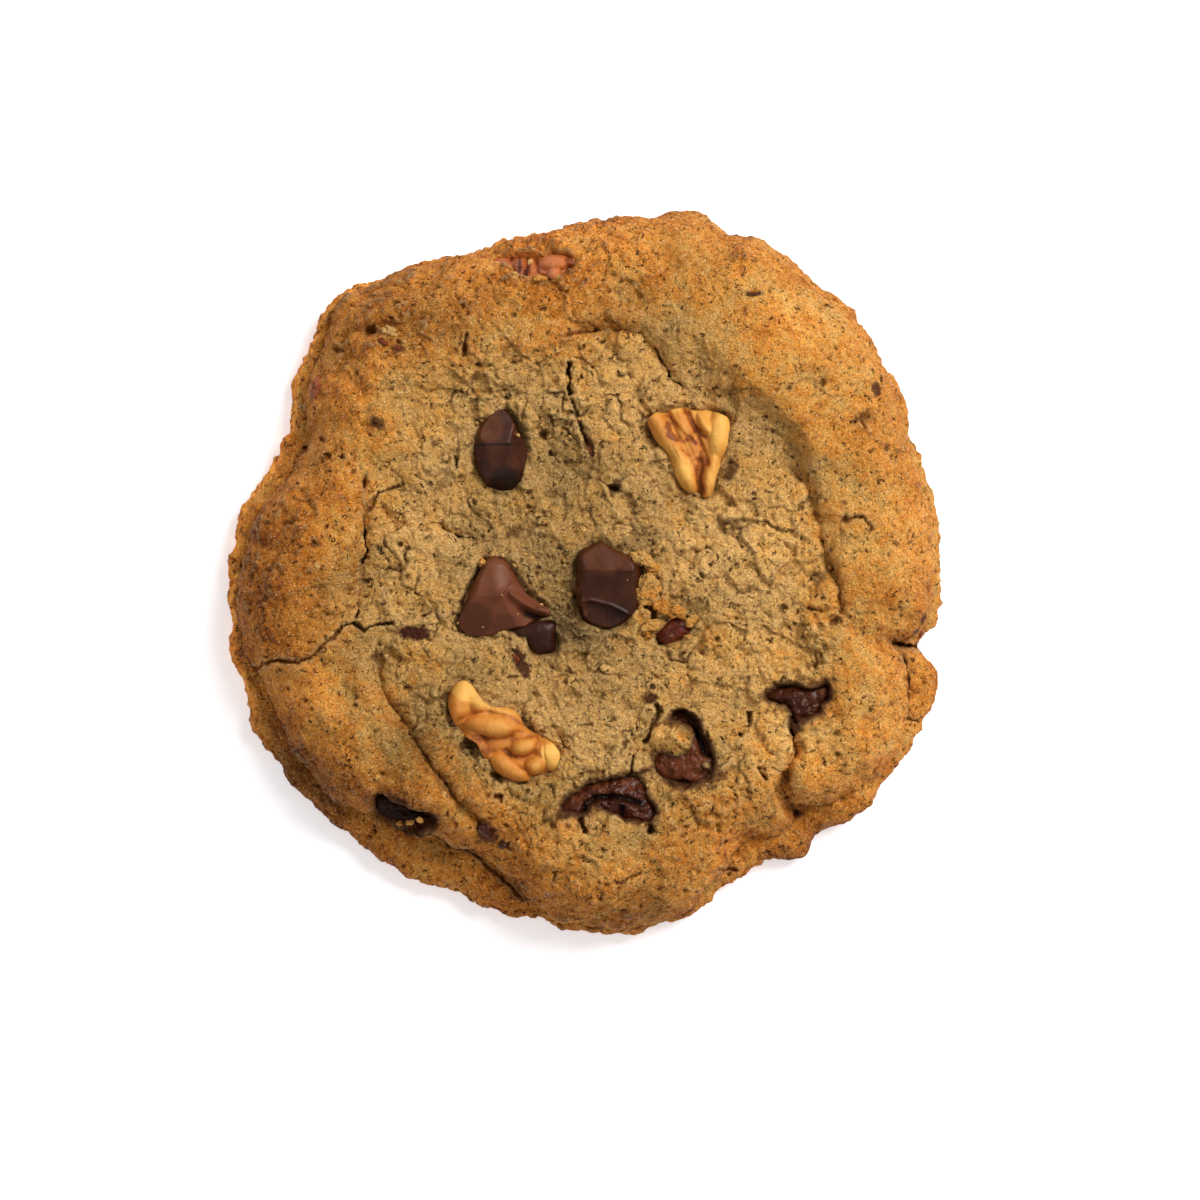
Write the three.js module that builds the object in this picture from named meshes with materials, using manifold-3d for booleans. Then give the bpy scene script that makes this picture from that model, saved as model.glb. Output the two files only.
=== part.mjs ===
// A soft chocolate chip cookie, about 100 mm across and 14 mm thick. A rim with a low foot runs round a sunken
// middle. Chunks of chocolate, melted chocolate, two pieces of walnut, a pecan and a bit of nut are set in it.
// Millimetres, +Z up. The origin is the middle of the flat base, and +Y is towards the pecan in the rim.

import * as THREE from "three";
import { mergeVertices } from "three/addons/utils/BufferGeometryUtils.js";
import Module from "manifold-3d";

const wasm = await Module();
wasm.setup();

// Driving dimensions of the dough
const MEAN_RADIUS = 49.5;
const RIM_HEIGHT = 13.2;
const MIDDLE_HEIGHT = 10.9;
const RIM_WIDTH = 12; // from the edge to where the top starts to sink
const SINK_WIDTH = 9; // over which it sinks to the middle's height
const SHOULDER = 9.5; // width of the rounded shoulder
const FOOT_HEIGHT = 4.8; // of the foot where it is broad
const FOOT_ROUND = 3.2; // width of the foot's own rounding
const EDGE_HEIGHT = 2.2; // height at which the cookie is widest
const BASE_INSET = 1.6; // how far the flat base lies inside the edge
const RELIEF_FADE = 4.5; // the relief grows to its full height over this distance from the edge
const LUMPS = [[7, 0.45, 1], [3.4, 0.35, 2]]; // unevenness of the top: [size, height, seed]
const GAP = 0.32; // clearance between the dough and what is set in it
const SEAT_MARGIN = 1.2; // a topping's seat is the dough this far outside its outline
const FACET_FLOOR = 0.25; // no facet takes a topping below this share of its height

// How finely the solids are faceted
const DOUGH_STEP = 1.85;
const TOPPING_STEP = 1.05;
const SIDE_INSETS = [0, 0.35, 1.0, 1.9, 3.0, 4.3, 5.7, 7.3]; // distances of the side's rings from the edge
const TOP_SHARES = [0.25, 0.48, 0.68, 0.85, 0.96, 1]; // how wide a topping's rings are, from its crown to its waist
const DROP_SHARES = [0.86, 0.5]; // and from there down

// The edge: [bearing in degrees, radius]
const EDGE = [
  [5, 49.7], [13, 49.6], [23, 49.6], [33, 50.6], [43, 51.4], [53, 51.3], [62, 52.3], [67, 51.1], [73, 52.2],
  [80, 49.8], [88, 48.4], [97, 47.2], [109, 46.6], [118, 48.3], [127, 50.3], [133, 51.4], [140, 49.3],
  [147, 48.1], [154, 45.8], [161, 45.8], [168, 48.0], [177, 48.7], [186, 49.7], [198, 50.0], [208, 50.5],
  [218, 49.9], [228, 48.5], [241, 48.9], [250, 48.0], [262, 48.9], [273, 50.1], [287, 50.1], [295, 47.9],
  [302, 47.3], [307, 49.0], [312, 48.6], [317, 50.5], [327, 50.8], [336, 51.7], [343, 50.8], [347.5, 47.6],
  [352, 49.2],
];

// The foot is the lower layer that shows outside the shoulder: [bearing, width]. There is none where it is 0.
const FOOT_WIDTH = [
  [0, 1.2], [22, 0.8], [40, 0], [70, 0], [100, 0], [124, 0.3], [140, 1.6], [155, 2.6], [166, 2.9], [178, 1.5],
  [190, 1.3], [205, 3.2], [215, 2.5], [224, 2.2], [235, 4.6], [246, 6.0], [256, 4.2], [264, 1.0], [280, 0.6],
  [292, 1.2], [300, 3.2], [308, 3.6], [318, 3.2], [328, 0.8], [336, 2.6], [345, 3.4], [350, 1.0],
];

// Rounded swellings of the dough: [x, y, half length, half width, turn in degrees, height]
const SWELLINGS = [
  [-39.0, 0.5, 8, 5.5, 85, 1.0], // left lobe
  [-37.0, 13.5, 6, 5, 60, 0.7],
  [-39.0, -17.0, 6, 4.5, 110, 0.7],
  [-32.5, -26.5, 6, 4.5, 130, 0.6],
  [-24.5, 2.0, 6, 5, 80, 0.6],
  [-24.0, 13.0, 6, 5, 40, 0.4],
  [-22.0, -16.0, 6, 3, 125, 0.7], // ridge beside the lower walnut
  [23.0, 31.0, 12, 7.5, -35, 1.5], // great lobe at the upper right
  [3.8, 28.3, 5, 4.2, 0, 1.3], // mound inside the rim's upper fold
  [-10.0, 33.5, 8, 5, 10, 0.5],
  [42.0, 2.0, 7, 4.5, 90, 1.1],
  [39.5, -16.5, 7, 5, 80, 0.7],
  [31.8, -29.8, 3.6, 3.2, 60, 1.2], // torn lobe at the lower right
  [3.6, -37.2, 4.5, 2.6, 0, 0.9],
  [16.5, -30.6, 4, 3, 0, 0.7],
  [12.2, -23.2, 2.3, 2.3, 0, 1.2], // bump that the melted ring lies round
  [24.0, 2.0, 6, 5, 0, 0.5],
  [-3.0, -2.6, 3.2, 4, 0, -1.3], // hollow between two chunks
  [-4.6, 17.5, 3.4, 1.5, 110, -1.3],
  [22.0, -12.0, 5, 3.5, 30, -0.5],
];

// Folds and cracks, each a line with the side on its left raised by the lip, or its right where that is below 0:
// [width, depth, lip, [x, y], [x, y], ...]
const FOLDS = [
  // the rim's inner fold, from the top to the right
  [1.7, 1.2, -1.0, [34.7, -7.2], [35.9, -5.1], [35.3, -2.2], [33.0, 3.7], [32.4, 9.0], [29.8, 15.4], [25.5, 22.1],
    [19.1, 24.6], [13.7, 25.5], [11.1, 28.8], [9.0, 32.2], [4.6, 34.0], [-1.7, 32.3]],
  // left fold
  [1.6, 1.1, -0.7, [-30.6, 14.6], [-31.1, 8.0], [-30.5, 2.6], [-31.7, -2.0], [-31.9, -6.9]],
  // lower left fold
  [1.7, 1.4, -0.9, [-30.3, -10.9], [-28.5, -15.5], [-24.8, -21.6], [-18.0, -31.6], [-13.4, -35.2]],
  // bottom arc
  [1.5, 0.7, 0, [9.1, -36.7], [14.7, -35.1], [18.3, -31.8]],
  // long crack from the left edge
  [1.3, 1.2, 0.2, [-47.5, -12.7], [-40.1, -12.6], [-34.8, -8.8], [-32.1, -7.2], [-26.6, -7.4]],
  // crack below the rim's upper fold
  [1.3, 1.6, 0, [-2.0, 29.6], [-2.3, 27.0], [-1.8, 24.5], [-0.4, 21.0], [1.3, 16.0]],
  // fold above the milk chocolate
  [1.4, 1.1, -0.6, [-20.5, 7.4], [-19.1, 5.3], [-16.2, 4.8], [-14.9, 3.1]],
  // crevices at the upper left
  [1.5, 1.2, 0.4, [-35.0, 31.2], [-32.4, 33.3], [-28.6, 33.6], [-25.2, 33.7]],
  [1.6, 0.8, 0, [-34.8, 33.1], [-32.0, 36.3], [-26.8, 38.7]],
  // crevice in the torn lower right
  [1.6, 3.2, 0, [29.3, -21.8], [29.4, -25.1], [27.4, -29.6], [28.6, -32.4], [31.6, -36.0]],
  // notch at the right edge
  [1.4, 2.2, 0, [48.5, -10.4], [44.3, -10.1], [42.0, -9.4]],
  // crack round the bump in the melted ring
  [1.3, 1.3, 0, [8.3, -18.0], [10.5, -19.8], [8.1, -24.0]],
];
const LIP_OFFSET = 2.6; // a fold's lip is highest this far from it
const LIP_WIDTH = 2.3;
const FOLD_ENDS = 0.12; // share of a fold's length over which each end fades out

// Colours, as sRGB
const DOUGH = 0xc9975a;
const DARK_CHOCOLATE = 0x3a241d;
const MILK_CHOCOLATE = 0x5e3828;
const MELTED_CHOCOLATE = 0x3c211a;
const WALNUT = 0xc98f4e;
const NUT_SKIN = 0x8f4526;
const DOUGH_ROUGHNESS = 0.85;
const TOPPING_ROUGHNESS = 0.4;

// What is set in the dough. Each is a pebble over an outline, whose corners are [x, y] from at. Its crown stands
// above the dough round it, or below that where stands is under 0, and it leans as that dough does. From its
// waist, where it is widest, it rises to the crown and drops into the dough. A facet [x, y, z, slope towards +X,
// slope towards +Y] cuts it by a plane, and a ridge [x, y, x, y, half width, height] raises it along a line.
const TOPPINGS = [
  {
    name: "dark_chunk_upper", colour: DARK_CHOCOLATE, at: [-11.6, 17.0], stands: 2.5, rise: 3.2, drop: 3.2,
    outline: [[3.7, 0.3], [3.5, -1.9], [2.8, -4.4], [1.2, -5.9], [-1.0, -5.9], [-3.0, -3.9], [-3.8, -0.9],
      [-3.7, 1.6], [-2.9, 3.3], [-1.0, 5.5], [0.4, 5.7], [1.9, 4.1], [2.5, 2.5]],
    facets: [[0, 1.0, 3.1, 0.05, -0.42], [0, 1.0, 3.1, -0.12, 0.14], [1.5, -2.5, 2.6, -0.65, 0.25]],
  },
  {
    name: "milk_chip", colour: MILK_CHOCOLATE, at: [-11.9, -3.8], stands: 2.9, rise: 3.6, drop: 3.0,
    outline: [[6.9, -2.9], [7.2, -1.9], [6.1, -0.8], [4.2, 0.6], [2.9, 2.6], [1.4, 5.2], [-0.2, 6.1], [-1.7, 5.6],
      [-3.2, 3.0], [-4.6, -0.2], [-5.8, -3.1], [-5.0, -4.6], [-2.8, -5.3], [0.4, -4.6], [3.6, -3.9]],
    facets: [[-1.0, 1.5, 3.6, -0.18, 0.30], [-1.0, 1.5, 3.6, 0.55, 0.28], [-1.0, 1.5, 3.6, -0.8, 0.1]],
    ridges: [[3.4, -0.8, 6.2, -2.0, 0.8, 0.9]],
  },
  {
    name: "melted_tail", colour: MELTED_CHOCOLATE, at: [-6.3, -9.4], stands: 0.7, rise: 1.5, drop: 2.4,
    outline: [[2.2, 1.4], [1.9, 0.2], [1.8, -2.0], [0.2, -1.9], [-1.6, -0.6], [-3.6, 0.8], [-1.6, 1.0], [0.4, 1.2]],
  },
  {
    name: "dark_chunk_middle", colour: DARK_CHOCOLATE, at: [3.4, -2.1], stands: 2.6, rise: 3.3, drop: 3.3,
    outline: [[4.5, 1.9], [4.1, -0.6], [4.3, -2.5], [3.4, -4.1], [1.8, -5.4], [0.2, -6.1], [-2.2, -5.7],
      [-3.8, -4.6], [-4.5, -2.4], [-4.7, 0.4], [-4.5, 2.3], [-4.4, 4.8], [-2.2, 6.0], [-1.1, 6.4], [0.2, 5.6],
      [2.1, 4.7], [4.1, 3.5]],
    facets: [[0, 2.1, 3.2, -0.05, -0.18], [0, 2.1, 3.2, 0.02, 0.24], [0, -4.0, 2.4, 0.05, 0.55]],
    ridges: [[-3.2, -2.9, 1.8, -4.2, 0.5, 0.35]],
  },
  {
    name: "walnut_upper", colour: WALNUT, at: [14.9, 17.0], stands: 2.4, rise: 3.4, drop: 3.2,
    outline: [[5.3, 3.0], [4.9, 0.2], [3.5, -3.6], [2.9, -6.3], [1.7, -6.7], [0.4, -6.1], [-0.6, -5.9],
      [-2.0, -4.6], [-3.9, -0.6], [-5.3, 1.8], [-6.1, 4.0], [-4.5, 5.2], [-1.9, 5.6], [-0.5, 5.9], [1.4, 5.6],
      [3.2, 5.2], [4.9, 4.4]],
    ridges: [[-3.6, 3.0, -0.9, -4.4, 1.3, 0.9], [3.6, 3.2, 2.2, -4.6, 1.2, 1.1], [-0.8, 5.0, 1.2, -5.0, 0.8, -1.3]],
  },
  {
    name: "walnut_lower", colour: WALNUT, at: [-11.2, -22.0], stands: 3.0, rise: 3.9, drop: 3.0,
    outline: [[7.8, -3.4], [7.4, -5.1], [6.1, -6.2], [4.2, -6.8], [2.2, -7.2], [0.1, -6.7], [-1.5, -5.4],
      [-2.9, -3.6], [-3.7, -1.9], [-5.5, -0.8], [-6.9, 1.1], [-7.7, 3.4], [-7.7, 5.5], [-6.6, 6.6], [-5.3, 6.8],
      [-4.3, 6.1], [-3.9, 5.0], [-2.5, 3.7], [-1.5, 3.2], [0.9, 3.1], [2.2, 2.0], [3.0, 0.5], [4.8, -0.6],
      [6.9, -1.9]],
    ridges: [[-6.4, 4.8, -3.6, 0.6, 1.3, 0.9], [-3.2, 1.6, 2.0, 1.4, 1.3, 0.8], [-1.2, -2.2, 4.8, -3.2, 1.5, 0.7],
      [-4.9, 2.4, 0.6, -0.4, 0.7, -0.8], [1.2, 0.2, 3.4, -3.4, 0.6, -0.6]],
  },
  {
    name: "pecan", colour: NUT_SKIN, at: [-7.2, 42.2], stands: 0.7, rise: 2.0, drop: 2.4,
    outline: [[6.0, 1.2], [5.2, -0.4], [3.4, -1.7], [1.8, -1.3], [0.2, -1.7], [-0.9, -1.9], [-2.2, -0.8],
      [-4.0, 0.0], [-5.9, 0.8], [-4.8, 1.8], [-2.4, 2.0], [1.0, 2.0], [4.5, 1.9]],
    ridges: [[-1.6, 1.6, -0.8, -1.4, 0.7, 0.7], [-0.1, 1.8, 0.2, -1.2, 0.5, -0.9], [2.0, 1.7, 3.2, -1.1, 1.2, 0.8]],
  },
  {
    name: "melted_bottom", colour: MELTED_CHOCOLATE, at: [3.4, -31.2], stands: -0.5, rise: 1.6, drop: 1.8,
    outline: [[6.4, -2.5], [4.9, 0.7], [4.3, 2.1], [2.4, 2.8], [-1.8, 1.9], [-4.7, 0.4], [-6.2, -1.0],
      [-6.6, -2.3], [-3.4, -2.7], [-2.0, -1.6], [1.0, -2.6], [3.6, -3.2], [5.6, -3.6]],
  },
  {
    name: "melted_ring", colour: MELTED_CHOCOLATE, at: [14.0, -25.6], stands: -0.4, rise: 1.5, drop: 1.8,
    outline: [[3.9, -0.4], [2.6, 2.3], [1.2, 4.4], [-0.4, 5.9], [-1.7, 5.6], [-2.8, 2.0], [-4.1, -0.6],
      [-3.4, -2.4], [0.0, -4.4], [2.9, -3.2]],
    around: { at: [-1.9, 2.0], radius: 2.3 }, // the bump of dough that the ring lies round
  },
  {
    name: "chunk_right", colour: MELTED_CHOCOLATE, at: [29.9, -17.8], stands: 0.2, rise: 1.8, drop: 2.0,
    outline: [[4.3, 0.6], [3.0, -0.7], [2.3, -2.1], [0.6, -2.9], [-0.6, -3.8], [-1.1, -1.9], [-2.4, -0.6],
      [-4.7, 0.3], [-3.7, 1.5], [-1.2, 1.9], [1.8, 1.5], [4.0, 2.1]],
  },
  {
    name: "chunk_lower_left", colour: MELTED_CHOCOLATE, at: [-25.2, -33.3], stands: 0.2, rise: 1.6, drop: 1.9,
    outline: [[4.3, -1.9], [1.4, -2.2], [-1.4, -1.4], [-3.6, -0.3], [-4.1, 1.3], [-2.8, 2.1], [-0.2, 1.1],
      [2.6, -0.2], [4.6, -1.2]],
  },
  {
    name: "nut_piece", colour: NUT_SKIN, at: [12.5, -7.8], stands: 0.6, rise: 2.0, drop: 2.0,
    outline: [[2.9, 1.2], [2.7, -0.3], [1.3, -1.5], [-1.2, -2.4], [-2.5, -1.2], [-1.8, 0.2], [-0.4, 1.4], [1.6, 1.9]],
  },
];

const clamp = (value, low, high) => Math.min(high, Math.max(low, value));
const smoothstep = (low, high, value) => {
  const t = clamp((value - low) / (high - low), 0, 1);
  return t * t * (3 - 2 * t);
};
// Height of a quarter circle, from 0 at its foot to 1 at its crest
const quarter = (t) => Math.sqrt(1 - (1 - clamp(t, 0, 1)) ** 2);

// The value at a bearing of a table [[bearing, value], ...] that goes all the way round
function around(table, bearing) {
  const count = table.length;
  let next = table.findIndex(([at]) => at > bearing);
  if (next < 0) next = count;
  const entry = (i) => {
    const turns = Math.floor(i / count);
    const [at, value] = table[i - turns * count];
    return [at + 360 * turns, value];
  };
  const [a, b, c, d] = [next - 2, next - 1, next, next + 1].map(entry);
  const span = c[0] - b[0];
  const t = (bearing - b[0]) / span;
  const leave = ((c[1] - a[1]) / (c[0] - a[0])) * span;
  const arrive = ((d[1] - b[1]) / (d[0] - b[0])) * span;
  return (
    (2 * t ** 3 - 3 * t ** 2 + 1) * b[1] +
    (t ** 3 - 2 * t ** 2 + t) * leave +
    (3 * t ** 2 - 2 * t ** 3) * c[1] +
    (t ** 3 - t ** 2) * arrive
  );
}

const bearingOf = (x, y) => (THREE.MathUtils.radToDeg(Math.atan2(y, x)) + 360) % 360;

// Smooth noise from -1 to 1, with lumps of the given size
function noise(x, y, size, seed) {
  const u = x / size;
  const v = y / size;
  const [i, j] = [Math.floor(u), Math.floor(v)];
  const corner = (a, b) => {
    let h = Math.imul(a, 374761393) ^ Math.imul(b, 668265263) ^ Math.imul(seed, 974711);
    h = Math.imul(h ^ (h >>> 13), 1274126177);
    return ((h ^ (h >>> 16)) >>> 0) / 2147483648 - 1;
  };
  const [s, t] = [smoothstep(0, 1, u - i), smoothstep(0, 1, v - j)];
  const low = corner(i, j) * (1 - s) + corner(i + 1, j) * s;
  const high = corner(i, j + 1) * (1 - s) + corner(i + 1, j + 1) * s;
  return low * (1 - t) + high * t;
}

// How far a point lies from a line, how far along it (0 to 1), and whether it is on its left
function fromLine(x, y, line) {
  const best = { distance: Infinity, along: 0, left: true };
  for (let i = 0; i + 1 < line.length; i++) {
    const [[ax, ay], [bx, by]] = [line[i], line[i + 1]];
    const [dx, dy] = [bx - ax, by - ay];
    const t = clamp(((x - ax) * dx + (y - ay) * dy) / (dx * dx + dy * dy), 0, 1);
    const distance = Math.hypot(x - ax - t * dx, y - ay - t * dy);
    if (distance < best.distance) {
      best.distance = distance;
      best.along = (i + t) / (line.length - 1);
      best.left = dx * (y - ay) - dy * (x - ax) > 0;
    }
  }
  return best;
}

function swellingHeight(x, y) {
  let sum = 0;
  for (const [cx, cy, length, width, turn, height] of SWELLINGS) {
    const angle = THREE.MathUtils.degToRad(turn);
    const [dx, dy] = [x - cx, y - cy];
    const u = (dx * Math.cos(angle) + dy * Math.sin(angle)) / length;
    const v = (dy * Math.cos(angle) - dx * Math.sin(angle)) / width;
    sum += height * Math.exp(-(u * u + v * v));
  }
  return sum;
}

function foldHeight(x, y) {
  let sum = 0;
  for (const fold of FOLDS) {
    const line = fold.filter(Array.isArray);
    const [width, depth, lip] = fold.filter((value) => !Array.isArray(value));
    const near = fromLine(x, y, line);
    const ends = smoothstep(0, FOLD_ENDS, near.along) * smoothstep(0, FOLD_ENDS, 1 - near.along);
    const groove = -depth * Math.exp(-((near.distance / width) ** 2));
    const raised = near.left === lip > 0 ? Math.abs(lip) : 0;
    sum += ends * (groove + raised * Math.exp(-(((near.distance - LIP_OFFSET) / LIP_WIDTH) ** 2)));
  }
  return sum;
}

// Height of the dough's upper surface
function doughHeight(x, y) {
  const bearing = bearingOf(x, y);
  const inside = around(EDGE, bearing) - Math.hypot(x, y);
  const footWidth = Math.max(0, around(FOOT_WIDTH, bearing));
  const foot = (FOOT_HEIGHT - EDGE_HEIGHT) * quarter(inside / FOOT_ROUND);
  const shoulder = (RIM_HEIGHT - EDGE_HEIGHT) * quarter((inside - footWidth) / SHOULDER);
  const sunk = (RIM_HEIGHT - MIDDLE_HEIGHT) * smoothstep(RIM_WIDTH, RIM_WIDTH + SINK_WIDTH, inside);
  const lumps = LUMPS.reduce((sum, [size, height, seed]) => sum + height * noise(x, y, size, seed), 0);
  const relief = swellingHeight(x, y) + foldHeight(x, y) + lumps;
  return EDGE_HEIGHT + Math.max(foot, shoulder) - sunk + relief * smoothstep(0, RELIEF_FADE, inside);
}

// A closed surface over rings of points, from the middle of the top, over the widest ring, to the middle of
// the underside. Each ring is an array of THREE.Vector3 that runs anticlockwise, from bearing 0.
function closedOverRings(top, rings, bottom) {
  const points = [top, ...rings.flat(), bottom];
  const starts = [];
  let count = 1;
  for (const ring of rings) {
    starts.push(count);
    count += ring.length;
  }
  const faces = [];
  const fan = (apex, start, length, up) => {
    for (let i = 0; i < length; i++) {
      const [a, b] = [start + i, start + ((i + 1) % length)];
      faces.push(...(up ? [apex, a, b] : [apex, b, a]));
    }
  };
  fan(0, starts[0], rings[0].length, true);
  for (let k = 0; k + 1 < rings.length; k++) {
    const [inner, outer] = [rings[k].length, rings[k + 1].length];
    let [i, j] = [0, 0];
    while (i < inner || j < outer) {
      const [a, b] = [starts[k] + (i % inner), starts[k + 1] + (j % outer)];
      if (j < outer && (i >= inner || (j + 1) / outer <= (i + 1) / inner)) {
        faces.push(a, b, starts[k + 1] + ((j + 1) % outer));
        j++;
      } else {
        faces.push(a, b, starts[k] + ((i + 1) % inner));
        i++;
      }
    }
  }
  const last = rings.length - 1;
  fan(count, starts[last], rings[last].length, false);
  const geometry = new THREE.BufferGeometry().setFromPoints(points);
  geometry.setIndex(faces);
  return geometry;
}

// A three.js geometry as a solid, and a solid as a three.js geometry
function solidOf(geometry) {
  const bare = geometry.clone();
  bare.deleteAttribute("normal");
  bare.deleteAttribute("uv");
  const merged = mergeVertices(bare, 1e-4);
  return new wasm.Manifold(
    new wasm.Mesh({
      numProp: 3,
      vertProperties: merged.attributes.position.array,
      triVerts: new Uint32Array(merged.index.array),
    }),
  );
}

function geometryOf(solid) {
  const mesh = solid.getMesh();
  const geometry = new THREE.BufferGeometry();
  geometry.setAttribute("position", new THREE.BufferAttribute(mesh.vertProperties, 3));
  geometry.setIndex(new THREE.BufferAttribute(mesh.triVerts, 1));
  return geometry;
}

function doughSolid() {
  const insets = [...SIDE_INSETS];
  while (insets.at(-1) + 2 * DOUGH_STEP < MEAN_RADIUS) insets.push(insets.at(-1) + DOUGH_STEP);
  const ring = (inset, heightAt) => {
    const share = 1 - inset / MEAN_RADIUS;
    const count = Math.max(6, Math.round((2 * Math.PI * MEAN_RADIUS * share) / DOUGH_STEP));
    return Array.from({ length: count }, (_, i) => {
      const bearing = (360 * i) / count;
      const radius = around(EDGE, bearing) * share;
      const angle = THREE.MathUtils.degToRad(bearing);
      const [x, y] = [radius * Math.cos(angle), radius * Math.sin(angle)];
      return new THREE.Vector3(x, y, heightAt(x, y));
    });
  };
  const rings = insets.reverse().map((inset) => ring(inset, doughHeight));
  rings.push(ring(BASE_INSET * 0.3, () => EDGE_HEIGHT * 0.4));
  rings.push(ring(BASE_INSET, () => 0));
  return solidOf(
    closedOverRings(new THREE.Vector3(0, 0, doughHeight(0, 0)), rings, new THREE.Vector3(0, 0, 0)),
  );
}

// A topping's outline, evenly spaced and spread outwards by margin
function outlineOf(topping, margin) {
  const corners = topping.outline.map(([x, y]) => new THREE.Vector3(x, y, 0));
  const curve = new THREE.CatmullRomCurve3(corners, true, "catmullrom", 0.35);
  const count = Math.round(curve.getLength() / TOPPING_STEP);
  const points = curve.getSpacedPoints(count).slice(0, count);
  if (points.reduce((area, p, i) => area + p.clone().cross(points[(i + 1) % count]).z, 0) < 0) points.reverse();
  return points.map((p, i) => {
    const along = points[(i + 1) % count].clone().sub(points[(i + count - 1) % count]).normalize();
    return new THREE.Vector2(p.x + margin * along.y, p.y - margin * along.x);
  });
}

// Height of a topping above its waist, for a point at share of the way from its middle to its outline
function toppingHeight(topping, x, y, share) {
  let z = topping.rise * Math.sqrt(1 - share ** 3);
  for (const [fx, fy, fz, slopeX, slopeY] of topping.facets ?? []) {
    const plane = fz + slopeX * (x - fx) + slopeY * (y - fy);
    z = Math.min(z, Math.max(plane, FACET_FLOOR * z));
  }
  for (const [ax, ay, bx, by, width, height] of topping.ridges ?? []) {
    const { distance } = fromLine(x, y, [[ax, ay], [bx, by]]);
    z += height * Math.exp(-((distance / width) ** 2)) * (1 - share ** 4);
  }
  return z;
}

// How the dough lies round a topping: its mean height, and its slopes towards +X and +Y
function seatOf(topping) {
  const round = outlineOf(topping, SEAT_MARGIN);
  const sum = (valueOf) => round.reduce((total, p) => total + valueOf(p), 0);
  const heights = new Map(round.map((p) => [p, doughHeight(topping.at[0] + p.x, topping.at[1] + p.y)]));
  const height = sum((p) => heights.get(p)) / round.length;
  const slope = (axis) => sum((p) => (heights.get(p) - height) * p[axis]) / sum((p) => p[axis] ** 2);
  return { height, slopeX: slope("x"), slopeY: slope("y") };
}

// A solid made level at a topping's place, leaning as the dough there does
function leaned(solid, topping, seat) {
  const [x, y] = topping.at;
  const { slopeX, slopeY } = seat;
  const shear = new THREE.Matrix4();
  shear.set(1, 0, 0, 0, 0, 1, 0, 0, slopeX, slopeY, 1, -slopeX * x - slopeY * y, 0, 0, 0, 1);
  return solid.transform(shear.elements);
}

const waistOf = (topping, seat) => seat.height + topping.stands - topping.rise;

function toppingSolid(topping, seat) {
  const outline = outlineOf(topping, 0);
  const [cx, cy] = topping.at;
  const waist = waistOf(topping, seat);
  const ring = (share, heightAt) => {
    const count = Math.max(6, Math.round(outline.length * Math.max(share, 0.25)));
    return Array.from({ length: count }, (_, i) => {
      const p = outline[Math.round((i * outline.length) / count) % outline.length].clone().multiplyScalar(share);
      return new THREE.Vector3(cx + p.x, cy + p.y, waist + heightAt(p.x, p.y));
    });
  };
  const above = (share) => ring(share, (x, y) => toppingHeight(topping, x, y, share));
  const below = (share) => ring(share, () => -topping.drop * Math.sqrt(1 - share ** 4));
  const rings = [...TOP_SHARES.map(above), ...DROP_SHARES.map(below)];
  const top = new THREE.Vector3(cx, cy, waist + toppingHeight(topping, 0, 0, 0));
  const bottom = new THREE.Vector3(cx, cy, waist - topping.drop);
  const solid = leaned(solidOf(closedOverRings(top, rings, bottom)), topping, seat);
  return topping.around ? solid.subtract(bumpUnder(topping, GAP)) : solid;
}

const WELL_TOP = 30; // above everything, so that a well is open to the sky

// An upright prism over an outline
function prism(outline, low, high) {
  const geometry = new THREE.ExtrudeGeometry(new THREE.Shape(outline), { depth: high - low, bevelEnabled: false });
  return solidOf(geometry.translate(0, 0, low));
}

// The column of dough that a ring of chocolate lies round
function bumpUnder(topping, margin) {
  const { at, radius } = topping.around;
  const column = new THREE.CylinderGeometry(radius + margin, radius + margin, WELL_TOP, 20).rotateX(Math.PI / 2);
  return solidOf(column.translate(topping.at[0] + at[0], topping.at[1] + at[1], WELL_TOP / 2));
}

// The well in the dough that a topping sits in
function wellFor(topping, seat) {
  const outline = outlineOf(topping, GAP).map((p) => p.add(new THREE.Vector2(...topping.at)));
  const well = leaned(prism(outline, waistOf(topping, seat) - topping.drop - GAP, WELL_TOP), topping, seat);
  return topping.around ? well.subtract(bumpUnder(topping, 0)) : well;
}

function meshOf(name, solid, colour, roughness) {
  const material = new THREE.MeshStandardMaterial({ color: colour, roughness, metalness: 0 });
  const mesh = new THREE.Mesh(geometryOf(solid), material);
  mesh.name = name;
  return mesh;
}

const cookie = new THREE.Group();
let dough = doughSolid();
for (const topping of TOPPINGS) {
  const seat = seatOf(topping);
  dough = dough.subtract(wellFor(topping, seat));
  cookie.add(meshOf(topping.name, toppingSolid(topping, seat), topping.colour, TOPPING_ROUGHNESS));
}
cookie.add(meshOf("dough", dough, DOUGH, DOUGH_ROUGHNESS));

export default cookie;
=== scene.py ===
"""The looks of the chocolate chip cookie: a browned, pored rim round a pale, crumbly middle, with chunks of
chocolate, melted chocolate, walnut and pecan set in it. The cookie's lengths are in millimetres until a mesh
is made, and those of the floor, the lamp and the camera are in metres."""

import math

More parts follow.
